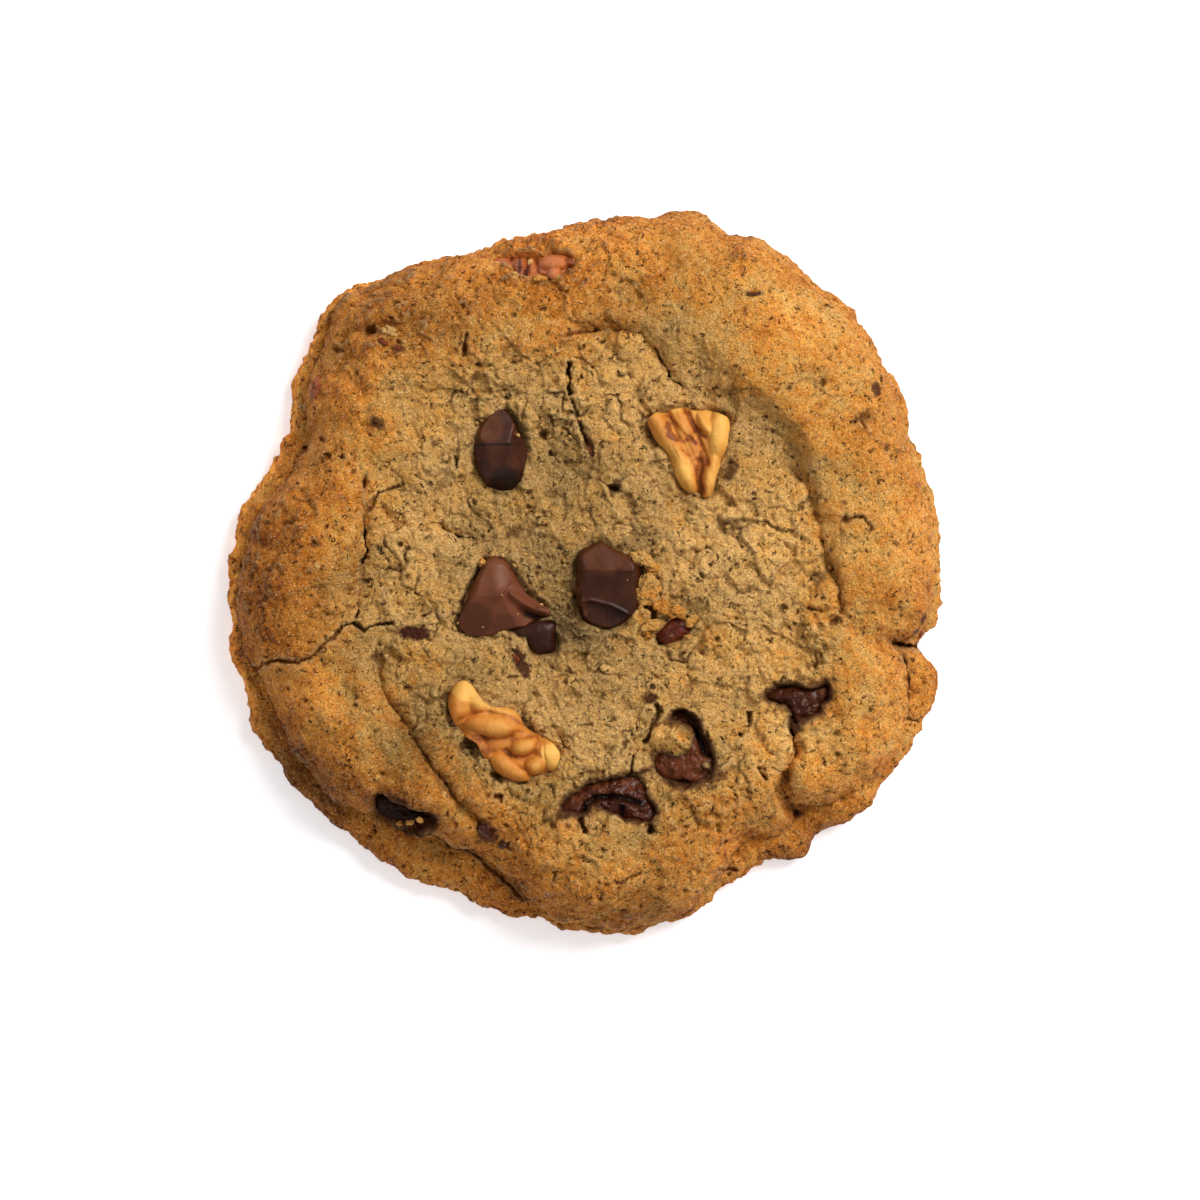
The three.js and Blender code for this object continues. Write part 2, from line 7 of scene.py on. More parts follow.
import bpy
import numpy as np
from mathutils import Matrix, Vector


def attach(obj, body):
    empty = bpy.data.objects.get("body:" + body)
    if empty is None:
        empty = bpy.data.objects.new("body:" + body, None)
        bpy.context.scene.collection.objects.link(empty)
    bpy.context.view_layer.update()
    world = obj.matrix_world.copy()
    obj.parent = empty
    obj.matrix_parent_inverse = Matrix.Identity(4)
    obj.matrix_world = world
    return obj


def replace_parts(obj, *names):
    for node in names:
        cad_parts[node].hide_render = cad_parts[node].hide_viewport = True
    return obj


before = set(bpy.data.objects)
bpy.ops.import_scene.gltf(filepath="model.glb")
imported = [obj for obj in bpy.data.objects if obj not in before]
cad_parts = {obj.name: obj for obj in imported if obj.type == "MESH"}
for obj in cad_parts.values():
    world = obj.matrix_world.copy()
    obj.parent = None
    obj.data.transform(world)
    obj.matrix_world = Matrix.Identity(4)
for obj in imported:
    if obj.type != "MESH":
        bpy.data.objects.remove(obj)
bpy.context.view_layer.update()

MM = 0.001

# Driving dimensions of the dough, as in the solids
MEAN_RADIUS = 49.5
RIM_HEIGHT = 13.2
MIDDLE_HEIGHT = 10.9
RIM_WIDTH = 12
SINK_WIDTH = 9
SHOULDER = 9.5
FOOT_HEIGHT = 4.8
FOOT_ROUND = 3.2
EDGE_HEIGHT = 2.2
BASE_INSET = 1.6
RELIEF_FADE = 4.5
LUMPS = [[7, 0.45, 1], [3.4, 0.35, 2]]  # size, height, seed
FOLD_ENDS = 0.12
SEAT_MARGIN = 1.2

# The folds' raised lips, a little narrower than in the solids
LIP_OFFSET = 2.2
LIP_WIDTH = 2.1

# How finely the pieces are meshed
RIM_STEP = 0.262
MIDDLE_STEP = 0.205
CORNER_STEP = 0.6  # the rounded corner under the dough's edge
UNDERSIDE_STEP = 1.3
TOPPING_STEP = 0.16
COARSE_STEP = 0.6  # a topping's outline, where only distances from it are wanted
SEAT_STEP = 1.0  # a topping's outline, where the dough's height round it is wanted
STEPS_TO_A_CORNER = 24
TENSION = 0.35  # how roundly an outline goes through its corners

MIDDLE_INSET = 16.5  # distance from the edge at which the rim's piece goes over into the middle's
PLUG_DEPTH = 3.0  # height at which the middle's piece ends below
FLATTENED_FROM = 14.4  # height above which bumps are flattened
FLATTENED_BY = 0.6  # share that goes of what stands above it
BASE_ZONE = 0.4  # height up to which the dough is browned by the tray
# The rounded corner below the edge: [distance inside the edge, share of the edge's height]
CORNER = [[0.05, 0.86], [0.2, 0.62], [0.45, 0.4], [0.8, 0.2], [1.2, 0.06], [BASE_INSET, 0.0]]

# The crumb: [size, height, seed] of the clumps with flat tops, and of the grains on them
CLUMPS = [[4.4, 0.55, 55], [2.5, 0.26, 56]]
CLUMP_SIDE = 0.22  # half the width of a clump's steep side
GRAINS = [[1.15, 0.15, 66], [0.65, 0.11, 65]]
FINE_GRAIN = 0.40  # size of the finest grains, which only the material has
CREVICES = [[5.5, 0.24, 0.08, 45], [3.2, 0.13, 0.3, 245]]  # spacing, half width, how rare (-1 to 1), seed
TEAR_DEPTH = 0.8
PORE_DEPTH = 0.6
GAP_DEPTH = 1.0  # of the gap round a topping
OPENING_DEPTH = 2.0  # of the torn openings with melted chocolate
TOPPING_BED = 1.6  # how far down the dough goes under a topping

# The edge: [bearing in degrees, radius]
EDGE = [
    [5, 49.7], [13, 49.6], [23, 49.6], [33, 50.6], [43, 51.4], [53, 51.3], [62, 52.3], [67, 51.1],
    [73, 52.2], [80, 49.8], [88, 48.4], [97, 47.2], [109, 46.6], [118, 48.3], [127, 50.3], [133, 51.4],
    [140, 49.3], [147, 48.1], [154, 45.8], [161, 45.8], [168, 48.0], [177, 48.7], [186, 49.7],
    [198, 50.0], [208, 50.5], [218, 49.9], [228, 48.5], [241, 48.9], [250, 48.0], [262, 48.9],
    [273, 50.1], [287, 50.1], [295, 47.9], [302, 47.3], [307, 49.0], [312, 48.6], [317, 50.5],
    [327, 50.8], [336, 51.7], [343, 50.8], [347.5, 47.6], [352, 49.2],
]

# The foot that shows outside the shoulder: [bearing, width]
FOOT_WIDTH = [
    [0, 1.2], [22, 0.8], [40, 0], [70, 0], [100, 0], [124, 0.3], [140, 1.6], [155, 2.6], [166, 2.9],
    [178, 1.5], [190, 1.3], [205, 3.2], [215, 2.5], [224, 2.2], [235, 4.6], [246, 6.0], [256, 4.2],
    [264, 1.0], [280, 0.6], [292, 1.2], [300, 3.2], [308, 3.6], [318, 3.2], [328, 0.8], [336, 2.6],
    [345, 3.4], [350, 1.0],
]

# How much browner than the rest the rim is: [bearing, browning]
BAKED = [[0, -0.02], [45, -0.02], [90, 0.03], [130, 0.07], [180, 0.10], [215, 0.08], [250, 0.04], [300, 0.0]]

# Rounded swellings of the dough: [x, y, half length, half width, turn in degrees, height]
SWELLINGS = [
    [-39.0, 0.5, 8, 5.5, 85, 1.0],
    [-37.0, 13.5, 6, 5, 60, 0.7],
    [-39.0, -17.0, 6, 4.5, 110, 0.7],
    [-32.5, -26.5, 6, 4.5, 130, 0.6],
    [-24.5, 2.0, 6, 5, 80, 0.6],
    [-24.0, 13.0, 6, 5, 40, 0.4],
    [-22.0, -16.0, 6, 3, 125, 0.7],
    [23.0, 31.0, 12, 7.5, -35, 1.5],
    [3.8, 28.3, 5, 4.2, 0, 1.3],
    [-10.0, 33.5, 8, 5, 10, 0.5],
    [42.0, 2.0, 7, 4.5, 90, 1.1],
    [39.5, -16.5, 7, 5, 80, 0.7],
    [31.8, -29.8, 3.6, 3.2, 60, 1.2],
    [3.6, -37.2, 4.5, 2.6, 0, 0.9],
    [16.5, -30.6, 4, 3, 0, 0.7],
    [12.2, -23.2, 2.3, 2.3, 0, 1.2],
    [24.0, 2.0, 6, 5, 0, 0.5],
    [-3.0, -2.6, 3.2, 4, 0, -1.3],
    [-4.6, 17.5, 3.4, 1.5, 110, -0.6],
    [22.0, -12.0, 5, 3.5, 30, -0.5],
]

# Folds, each a line with the side on its left raised by the lip, or its right where that is below 0:
# [width, depth, lip, [x, y], [x, y], ...]
FOLDS = [
    # the rim's inner fold at the right, at the upper right, and at the top
    [0.8, 1.3, -0.6, [34.7, -7.2], [35.9, -5.1], [35.5, -2.4], [34.2, 0.5], [33.0, 3.7], [32.4, 7.7],
     [31.4, 10.9], [29.6, 13.5], [27.8, 15.6]],
    [1.8, 0.7, -0.4, [32.0, 9.0], [30.4, 13.5], [29.5, 15.8], [27.9, 18.8], [25.5, 22.1], [22.3, 24.1],
     [19.1, 24.6], [15.9, 25.3], [12.6, 26.2]],
    [0.9, 1.1, -0.7, [14.6, 25.4], [12.6, 26.3], [11.4, 27.6], [10.6, 29.2], [9.6, 31.4], [7.6, 33.1],
     [5.8, 33.8], [3.4, 33.9], [1.1, 33.4], [-1.7, 32.3]],
    # left fold
    [1.0, 1.2, -0.7, [-30.6, 14.1], [-31.0, 9.9], [-30.9, 5.8], [-30.5, 2.6], [-31.6, -0.5],
     [-31.7, -4.0], [-31.9, -6.9]],
    # lower left fold
    [1.0, 1.6, -0.9, [-30.3, -10.9], [-28.8, -12.4], [-28.5, -16.2], [-26.7, -19.1], [-24.8, -21.6],
     [-21.9, -26.3], [-18.0, -31.6], [-15.2, -34.0], [-13.4, -35.2]],
    # bottom arc
    [0.8, 0.8, 0, [9.1, -36.7], [11.8, -36.1], [14.7, -35.1], [17.0, -33.7], [18.3, -31.8]],
    # fold above the milk chocolate
    [0.7, 0.9, -0.5, [-20.5, 7.4], [-19.1, 5.3], [-16.2, 4.8], [-14.9, 3.1]],
    # crevices at the upper left
    [0.8, 1.3, 0.4, [-34.8, 31.4], [-32.4, 33.3], [-29.2, 33.1], [-27.6, 34.4], [-25.2, 33.7]],
    [1.1, 0.8, 0, [-34.8, 33.1], [-32.7, 35.5], [-30.0, 37.4], [-26.8, 38.7]],
    # valley under the upper fold
    [1.0, 0.6, 0, [-7.0, 23.1], [-5.8, 19.9], [-5.2, 17.8], [-4.2, 16.0], [-1.3, 13.6], [0.9, 12.8],
     [4.5, 11.7]],
    # crevice in the torn lower right
    [0.9, 3.8, 0, [29.4, -21.6], [29.0, -23.4], [29.5, -25.1], [28.4, -26.9], [27.3, -29.7],
     [28.4, -32.2], [29.5, -33.8], [30.8, -34.8]],
]

# Cracks with sharp sides: [width, depth, [x, y], [x, y], ...]
CRACKS = [
    [0.42, 2.6, [-2.2, 29.6], [-2.4, 27.8], [-2.2, 26.0], [-1.9, 24.3]],
    [0.22, 1.0, [-1.9, 24.5], [-0.9, 22.4], [-0.4, 19.8], [0.4, 18.0], [1.4, 15.6]],
    [0.22, 1.5, [-46.7, -13.1], [-44.8, -13.3], [-44.0, -12.4], [-41.9, -12.4], [-39.5, -12.7],
     [-37.4, -11.5], [-36.1, -10.0], [-35.0, -9.1], [-33.7, -7.7], [-32.1, -7.1], [-30.7, -8.1],
     [-29.9, -7.5], [-27.8, -7.3], [-26.5, -7.2], [-25.7, -8.5]],
    [0.30, 1.6, [-30.5, 13.8], [-30.7, 10.9], [-30.6, 6.9], [-30.2, 2.6], [-31.3, 0.5], [-31.8, -2.4],
     [-31.5, -5.9], [-32.1, -7.2]],
    [0.20, 1.0, [-30.2, 7.8], [-28.6, 11.0], [-26.8, 11.4], [-25.2, 12.2]],
    [0.20, 1.0, [-20.2, 7.2], [-19.2, 5.6], [-17.6, 4.8], [-15.0, 4.6]],
    [0.30, 1.6, [5.6, 33.6], [7.4, 33.3], [10.0, 31.2], [11.3, 28.2], [12.4, 26.8], [14.0, 25.6]],
    [0.42, 2.0, [9.9, -18.2], [10.7, -19.6], [9.9, -21.4], [9.2, -23.1], [8.0, -24.1]],
    [0.22, 1.0, [6.8, -25.6], [6.6, -26.6], [6.3, -27.4], [6.5, -28.4]],
    [0.30, 1.2, [36.6, 7.0], [37.6, 7.6], [38.8, 7.4], [39.5, 6.0]],
    [0.50, 3.0, [49.6, -10.6], [46.5, -10.4], [44.3, -10.2], [42.4, -9.5]],
    [0.24, 0.9, [4.0, -43.1], [5.6, -42.4], [7.0, -42.1], [8.0, -41.7]],
    [0.26, 0.8, [-4.0, -41.7], [-4.2, -43.3]],
    [0.22, 0.8, [32.8, -25.8], [33.5, -27.2]],
    [0.40, 1.8, [28.7, -19.8], [28.9, -22.0], [29.0, -23.4], [28.6, -25.8], [27.9, -27.2]],
    [0.45, 1.6, [24.0, -27.2], [25.1, -28.5]],
    [0.32, 1.3, [-16.2, 33.3], [-16.6, 30.2]],
    [0.20, 0.8, [37.0, 20.6], [38.1, 21.0], [38.5, 19.4]],
    [0.55, 2.2, [11.8, -19.7], [13.9, -19.5], [15.1, -20.4], [15.6, -21.7], [15.9, -23.1], [16.5, -25.0],
     [17.9, -25.8]],
    [0.45, 2.0, [-0.5, -34.4], [0.3, -36.4]],
    [0.45, 2.0, [9.3, -35.0], [8.8, -36.5]],
    [0.60, 2.2, [-12.8, -31.4], [-11.4, -31.8]],
    [0.26, 1.2, [-26.4, -35.6], [-23.0, -36.0], [-20.0, -36.7], [-17.0, -38.2], [-14.6, -40.0],
     [-11.5, -42.9], [-9.6, -44.5], [-8.3, -46.3]],
    [0.22, 0.8, [-20.6, -27.2], [-22.2, -25.0], [-24.2, -22.6]],
    [0.28, 1.2, [-11.6, -37.6], [-10.4, -37.9]],
    [0.24, 0.9, [-18.2, 16.2], [-17.9, 14.2]],
    [0.35, 1.6, [-13.6, 2.0], [-15.4, -1.0], [-17.5, -5.0]],
    [0.22, 0.8, [-3.4, 33.0], [-0.4, 33.2], [2.4, 33.6]],
    [0.34, 1.3, [22.9, -19.3], [23.0, -20.6], [22.7, -21.9]],
    [0.22, 0.8, [44.6, -11.2], [44.9, -16.0], [44.8, -20.4], [46.9, -21.0]],
    [0.28, 1.0, [21.6, -22.4], [21.4, -23.6]],
    [0.28, 1.0, [18.9, -23.0], [19.6, -24.0]],
    [0.24, 0.9, [27.8, -14.4], [27.2, -15.4]],
    [0.30, 1.0, [17.9, -40.8], [19.6, -41.6], [21.2, -41.5]],
    [0.50, 1.8, [7.9, 1.5], [8.9, 0.2], [8.5, -1.0]],
    [0.55, 2.0, [8.2, -4.9], [9.5, -5.4], [9.7, -7.0]],
    [0.40, 1.6, [10.2, -9.0], [10.8, -10.1]],
]

# Pits: [x, y, radius, depth]
PITS = [
    [4.4, 11.5, 0.5, 2.0], [-38.4, 17.0, 0.6, 1.3], [-36.4, 18.2, 0.4, 0.9], [-35.4, 15.7, 0.45, 1.0],
    [-33.6, 15.9, 0.3, 0.8], [32.9, 26.1, 0.5, 1.0], [28.3, 25.5, 0.4, 0.8], [26.7, 25.4, 0.3, 0.7],
    [34.6, -6.9, 0.7, 1.6], [36.2, 7.1, 0.6, 1.4], [39.6, 6.0, 0.5, 1.2], [27.6, -5.2, 0.6, 0.9],
    [31.7, -5.2, 0.4, 0.8], [18.3, -9.4, 0.4, 0.8], [19.3, -37.4, 0.45, 0.9], [17.5, -31.9, 0.3, 0.8],
    [-16.5, 30.4, 0.35, 0.9], [-35.0, -9.2, 0.45, 1.2], [30.3, -32.6, 0.5, 0.8], [-29.0, 20.5, 0.35, 0.5],
    [38.4, 21.4, 0.6, 0.5], [21.8, 40.9, 0.3, 0.6], [13.6, -11.6, 0.4, 0.8], [-29.6, 33.2, 0.8, 1.2],
    [-34.2, 30.8, 0.6, 1.0], [-8.0, -31.0, 0.4, 0.8], [-16.0, -24.2, 1.0, 1.4], [-12.2, -28.7, 0.8, 1.6],
    [-19.6, -17.4, 0.7, 1.0], [-37.4, 3.8, 0.35, 0.8], [-10.7, -38.3, 0.4, 0.8], [-5.6, 19.0, 0.8, 1.2],
    [-4.3, 16.2, 0.7, 1.0],
]

# Smears of chocolate and nut skin on the dough: [x, y, half length, half width, turn in degrees, strength]
STAINS = [
    [-2.4, -33.9, 2.2, 0.9, 20, 0.9], [-8.9, -12.6, 2.4, 0.9, 115, 0.95],
    [-23.4, -8.7, 2.3, 1.0, -5, 1.0], [9.2, -17.6, 1.1, 0.8, 0, 0.95], [20.4, 14.4, 1.8, 0.8, 70, 0.8],
    [-9.6, 5.6, 1.3, 0.7, 20, 0.6], [-18.9, -30.4, 3.2, 0.8, -50, 0.45],
    [16.4, -28.8, 3.0, 1.4, 10, 0.75], [23.5, 38.5, 1.2, 0.35, -3, 0.95], [22.3, 36.1, 0.3, 0.7, 0, 0.7],
    [-28.8, 20.5, 1.0, 0.8, 0, 0.8], [40.2, 25.3, 0.6, 0.9, 0, 0.9], [41.8, 17.2, 0.5, 0.6, 0, 0.8],
    [39.1, 21.5, 1.2, 0.8, 0, 0.4], [46.9, -6.2, 0.5, 0.8, 0, 0.9], [32.6, -0.9, 1.1, 0.8, -40, 0.6],
    [20.7, 25.4, 1.2, 0.8, 0, 0.4], [-41.0, 6.7, 0.7, 0.5, 0, 0.7], [-37.3, 3.7, 0.6, 0.5, 0, 0.6],
    [4.3, 11.7, 1.2, 0.5, 65, 0.8], [0.6, 17.6, 0.5, 2.0, 20, 0.75], [-25.9, 30.9, 0.9, 0.6, 0, 0.8],
    [-20.5, 17.9, 0.6, 0.5, 0, 0.5], [20.7, 42.9, 0.8, 0.5, 0, 0.45], [-17.6, 17.0, 0.3, 1.2, -15, 0.7],
    [16.8, -11.4, 0.5, 0.4, 0, 0.4], [14.6, -16.2, 1.4, 0.5, 60, 0.4], [-32.8, -4.8, 0.5, 0.3, 0, 0.6],
    [15.9, -22.5, 1.1, 3.4, 15, 0.8], [5.2, -28.4, 3.6, 0.7, 12, 0.75], [-9.0, -24.9, 0.4, 0.3, 0, 0.3],
    [10.8, -4.4, 0.6, 0.4, 0, 0.5], [-13.5, -35.9, 2.0, 1.3, -60, 0.8],
]

# Dough that stands over the melted chocolate: [x, y, radius]
ISLANDS = [[12.4, -23.3, 2.9], [3.6, -37.4, 3.6], [16.9, -26.9, 0.7]]

# Patches of the crust that are browner (above 0) or yellower, and lighter or darker. The lightness is
# partly the crust's own tone and partly painted shade, as in the hollows between the chunks, under the
# melted tail and on the foot below the shoulder, with painted light at the left edge:
# [x, y, radius, browning, lightness]
TONE_AND_SHADE_PATCHES = [
    [-2, 43, 9, 0.12, 0.16], [-32, 27, 8, 0.0, 0.08], [-42, 0, 8, 0.14, -0.04], [42, -22, 8, -0.12, 0.16],
    [30, 33, 9, -0.06, 0.16], [22, 29, 6, 0.12, 0], [-39, -18, 5, -0.08, 0.4], [-7, -41, 7, 0.14, 0],
    [4, -41, 5, -0.12, 0.1], [-24, 3, 6, -0.02, 0.25], [-24, -12, 4, 0.34, 0.04], [44, 5, 7, -0.02, 0.15],
    [10, -5, 5, 0.2, 0], [20, -8, 4, 0.14, 0], [-20, -29, 4, 0.14, -0.08], [26, -30, 7, -0.04, 0],
    [2, 29, 5, 0.12, 0.1], [12.3, -23, 3, 0.26, 0.3], [14, -33, 5, 0.08, 0], [-30, 14, 6, 0.06, 0.05],
    [-3, -3, 5, 0.0, -0.32], [-4, -7.5, 4, 0.0, -0.48], [0, -9, 4.5, 0.0, -0.36],
    [4, -14, 5, -0.02, -0.12], [-8, 1, 4, 0.0, -0.28], [-3, 16, 6, 0.0, -0.36], [-2, 6, 5, 0.0, -0.2],
    [-12, 10, 4, 0.0, -0.22], [12, 10, 4, 0.0, -0.14], [7, 3, 3.5, 0.0, -0.48], [15, -5.5, 3, 0.0, -0.5],
    [27, 2, 9, 0.02, 0.22], [22, 7, 6, 0.0, 0.14], [15, 3, 4.5, -0.04, 0.3], [19, -13, 7, 0.02, 0.12],
    [30, -11, 7, 0.0, 0.22], [28, -24, 5, 0.0, 0.44], [28, 22, 7, 0.0, 0.08], [5, 23, 6, -0.03, 0.24],
    [22, 16, 4, 0.0, -0.12], [-26, -20, 4, 0.05, -0.1], [-18, -15, 5, 0.0, -0.3],
    [-23, -23, 4.5, 0.0, -0.55], [-15, -27, 5, 0.04, -0.3], [-5, -30.5, 4, 0.0, -0.34],
    [-31, 0, 3.5, 0.05, -0.44], [-33, -12, 5, 0.0, -0.32], [4, -23, 4, 0.0, 0.12],
    [7, -36.5, 4, 0.0, -0.34], [8, -45, 4, 0.05, -0.5], [-40, 14, 6, -0.04, 0.12],
    [-8, 45, 5, -0.03, 0.46], [6, 36.5, 4, 0.0, -0.28], [-24, 36, 6, 0.1, -0.32],
    [-34, -36, 7, 0.05, -0.12], [-43, -21, 3, 0.15, -0.35], [-40.5, -26.5, 3.5, 0.2, -0.55],
    [-36, -31.5, 3, 0.12, -0.4], [47.2, -15, 2.8, 0.2, 0], [43.6, -28, 3, 0.2, 0],
    [38, -33.6, 3, 0.2, -0.05], [31.5, -36.5, 3, 0.25, -0.15], [27.2, -40, 2.5, 0.25, -0.2],
    [5, 43.5, 6, 0.0, 0.16], [-22.6, 8.2, 4, 0.0, -0.14], [-17.5, 0, 3.5, 0.0, -0.2],
    [7.3, -41.4, 3.5, 0.0, 0.32], [3, 15.8, 3, 0.0, -0.3], [-15, 5.5, 3, 0.0, -0.2],
    [21, -36.4, 4, 0.0, 0.16], [-11.7, -45, 4, 0.0, 0.16], [-23, 40, 3, 0.0, 0.2],
    [26, 33.5, 5, 0.0, 0.12], [-46.5, 4, 4, 0.0, 0.22], [-25.6, 7.1, 3, 0.0, 0.2],
]

# Crumblier places of the rim: [x, y, radius, how much]
CRUMBLY_RIM = [
    [-2, 42, 11, 0.55], [-42, 2, 9, 0.35], [-26, 33, 9, 0.4], [-2, -43, 9, 0.3], [-12, 30, 6, 0.3],
    [20, -36, 7, 0.2],
]

# Corners [x, y] of the part of the top that is crumbly, where the rest is smoother
CRUMBLY = [
    [35.0, -5], [33.4, 2], [31.8, 9], [28.5, 16], [22, 23.5], [13, 25.5], [9, 31], [2, 32.5], [-5, 30],
    [-14, 31], [-21, 25], [-25, 15], [-29, 4], [-30, -7], [-27, -13], [-24, -20], [-19, -27], [-13, -33],
    [-4, -34], [6, -37], [17, -36], [24, -31], [30, -26], [33, -18], [36, -10],
]

# Outlines of what is set in the dough: [x, y] from at, as in the solids apart from melted_tail, which goes a
# little further here. stands is how far the crown is above the dough round it. From its waist, a topping goes
# up by rise to its crown, and down by drop into the dough.
TOPPINGS = {
    "dark_chunk_upper": {
        "at": [-11.6, 17.0], "stands": 2.5, "rise": 3.2, "drop": 3.2,
        "outline": [
            [3.7, 0.3], [3.5, -1.9], [2.8, -4.4], [1.2, -5.9], [-1.0, -5.9], [-3.0, -3.9], [-3.8, -0.9],
            [-3.7, 1.6], [-2.9, 3.3], [-1.0, 5.5], [0.4, 5.7], [1.9, 4.1], [2.5, 2.5]]},
    "milk_chip": {
        "at": [-11.9, -3.8], "stands": 2.9, "rise": 3.6, "drop": 3.0,
        "outline": [
            [6.9, -2.9], [7.2, -1.9], [6.1, -0.8], [4.2, 0.6], [2.9, 2.6], [1.4, 5.2], [-0.2, 6.1],
            [-1.7, 5.6], [-3.2, 3.0], [-4.6, -0.2], [-5.8, -3.1], [-5.0, -4.6], [-2.8, -5.3], [0.4, -4.6],
            [3.6, -3.9]]},
    "melted_tail": {
        "at": [-6.3, -9.4], "stands": 0.7, "rise": 1.5, "drop": 2.4,
        "outline": [
            [2.4, 2.4], [2.4, -0.1], [2.1, -1.9], [-0.2, -2.1], [-1.7, -1.0], [-2.1, 0.3], [-4.5, 1.2],
            [-2.7, 2.2], [-0.2, 2.8]]},
    "dark_chunk_middle": {
        "at": [3.4, -2.1], "stands": 2.6, "rise": 3.3, "drop": 3.3,
        "outline": [
            [4.5, 1.9], [4.1, -0.6], [4.3, -2.5], [3.4, -4.1], [1.8, -5.4], [0.2, -6.1], [-2.2, -5.7],
            [-3.8, -4.6], [-4.5, -2.4], [-4.7, 0.4], [-4.5, 2.3], [-4.4, 4.8], [-2.2, 6.0], [-1.1, 6.4],
            [0.2, 5.6], [2.1, 4.7], [4.1, 3.5]]},
    "walnut_upper": {
        "at": [14.9, 17.0], "stands": 2.4, "rise": 3.4, "drop": 3.2,
        "outline": [
            [5.3, 3.0], [4.9, 0.2], [3.5, -3.6], [2.9, -6.3], [1.7, -6.7], [0.4, -6.1], [-0.6, -5.9],
            [-2.0, -4.6], [-3.9, -0.6], [-5.3, 1.8], [-6.1, 4.0], [-4.5, 5.2], [-1.9, 5.6], [-0.5, 5.9],
            [1.4, 5.6], [3.2, 5.2], [4.9, 4.4]]},
    "walnut_lower": {
        "at": [-11.2, -22.0], "stands": 3.0, "rise": 3.9, "drop": 3.0,
        "outline": [
            [7.8, -3.4], [7.4, -5.1], [6.1, -6.2], [4.2, -6.8], [2.2, -7.2], [0.1, -6.7], [-1.5, -5.4],
            [-2.9, -3.6], [-3.7, -1.9], [-5.5, -0.8], [-6.9, 1.1], [-7.7, 3.4], [-7.7, 5.5], [-6.6, 6.6],
            [-5.3, 6.8], [-4.3, 6.1], [-3.9, 5.0], [-2.5, 3.7], [-1.5, 3.2], [0.9, 3.1], [2.2, 2.0],
            [3.0, 0.5], [4.8, -0.6], [6.9, -1.9]]},
    "pecan": {
        "at": [-7.2, 42.2], "stands": 0.7, "rise": 2.0, "drop": 2.4,
        "outline": [
            [6.0, 1.2], [5.2, -0.4], [3.4, -1.7], [1.8, -1.3], [0.2, -1.7], [-0.9, -1.9], [-2.2, -0.8],
            [-4.0, 0.0], [-5.9, 0.8], [-4.8, 1.8], [-2.4, 2.0], [1.0, 2.0], [4.5, 1.9]]},
    "melted_bottom": {
        "at": [3.4, -31.2], "stands": -0.5, "rise": 1.6, "drop": 1.8,
        "outline": [
            [6.4, -2.5], [4.9, 0.7], [4.3, 2.1], [2.4, 2.8], [-1.8, 1.9], [-4.7, 0.4], [-6.2, -1.0],
            [-6.6, -2.3], [-3.4, -2.7], [-2.0, -1.6], [1.0, -2.6], [3.6, -3.2], [5.6, -3.6]]},
    "melted_ring": {
        "at": [14.0, -25.6], "stands": -0.4, "rise": 1.5, "drop": 1.8,
        "outline": [
            [3.9, -0.4], [2.6, 2.3], [1.2, 4.4], [-0.4, 5.9], [-1.7, 5.6], [-2.8, 2.0], [-4.1, -0.6],
            [-3.4, -2.4], [0.0, -4.4], [2.9, -3.2]]},
    "chunk_right": {
        "at": [29.9, -17.8], "stands": 0.2, "rise": 1.8, "drop": 2.0,
        "outline": [
            [4.3, 0.6], [3.0, -0.7], [2.3, -2.1], [0.6, -2.9], [-0.6, -3.8], [-1.1, -1.9], [-2.4, -0.6],
            [-4.7, 0.3], [-3.7, 1.5], [-1.2, 1.9], [1.8, 1.5], [4.0, 2.1]]},
    "chunk_lower_left": {
        "at": [-25.2, -33.3], "stands": 0.2, "rise": 1.6, "drop": 1.9,
        "outline": [
            [4.3, -1.9], [1.4, -2.2], [-1.4, -1.4], [-3.6, -0.3], [-4.1, 1.3], [-2.8, 2.1], [-0.2, 1.1],
            [2.6, -0.2], [4.6, -1.2]]},
    "nut_piece": {
        "at": [12.5, -7.8], "stands": 0.6, "rise": 2.0, "drop": 2.0,
        "outline": [
            [2.9, 1.2], [2.7, -0.3], [1.3, -1.5], [-1.2, -2.4], [-2.5, -1.2], [-1.8, 0.2], [-0.4, 1.4],
            [1.6, 1.9]]},
}
# The toppings that lie in torn openings of the dough
MELTED = ["melted_bottom", "melted_ring", "chunk_right", "chunk_lower_left"]


# Functions of number arrays

def smoothstep(low, high, value):
    """0 up to low, 1 from high on, and a smooth step between them."""
    t = np.clip((value - low) / (high - low), 0, 1)
    return t * t * (3 - 2 * t)


def quarter(t):
    """Height of a quarter circle, from 0 at its foot to 1 at its crest."""
    return np.sqrt(1 - (1 - np.clip(t, 0, 1)) ** 2)


def hermite(t, start, leave, end, arrive):
    """A curve from start (t is 0) to end (t is 1) with the slopes leave and arrive there."""
    return ((2 * t**3 - 3 * t**2 + 1) * start + (t**3 - 2 * t**2 + t) * leave
            + (3 * t**2 - 2 * t**3) * end + (t**3 - t**2) * arrive)


def around(table, bearing):
    """The value at a bearing of a table that goes all the way round."""
    at, values = np.array(table, float).T
    at = np.concatenate([at - 360, at, at + 360])
    values = np.tile(values, 3)
    following = np.searchsorted(at, bearing, side="right")
    a, b, c, d = (following + step for step in (-2, -1, 0, 1))
    span = at[c] - at[b]
    t = (bearing - at[b]) / span
    leave = (values[c] - values[a]) / (at[c] - at[a]) * span
    arrive = (values[d] - values[b]) / (at[d] - at[b]) * span
    return hermite(t, values[b], leave, values[c], arrive)


def lattice(i, j, k, seed):
    """A fixed random number from 0 to 1 for each whole-number place."""
    i, j, k = (np.asarray(v, np.int64).astype(np.uint32) for v in (i, j, k))
    h = (i * np.uint32(374761393)) ^ (j * np.uint32(668265263)) ^ (k * np.uint32(1442695041))
    h = h ^ np.uint32(seed * 974711 & 0xFFFFFFFF)
    h = (h ^ (h >> np.uint32(13))) * np.uint32(1274126177)
    return (h ^ (h >> np.uint32(16))) / 2.0**32


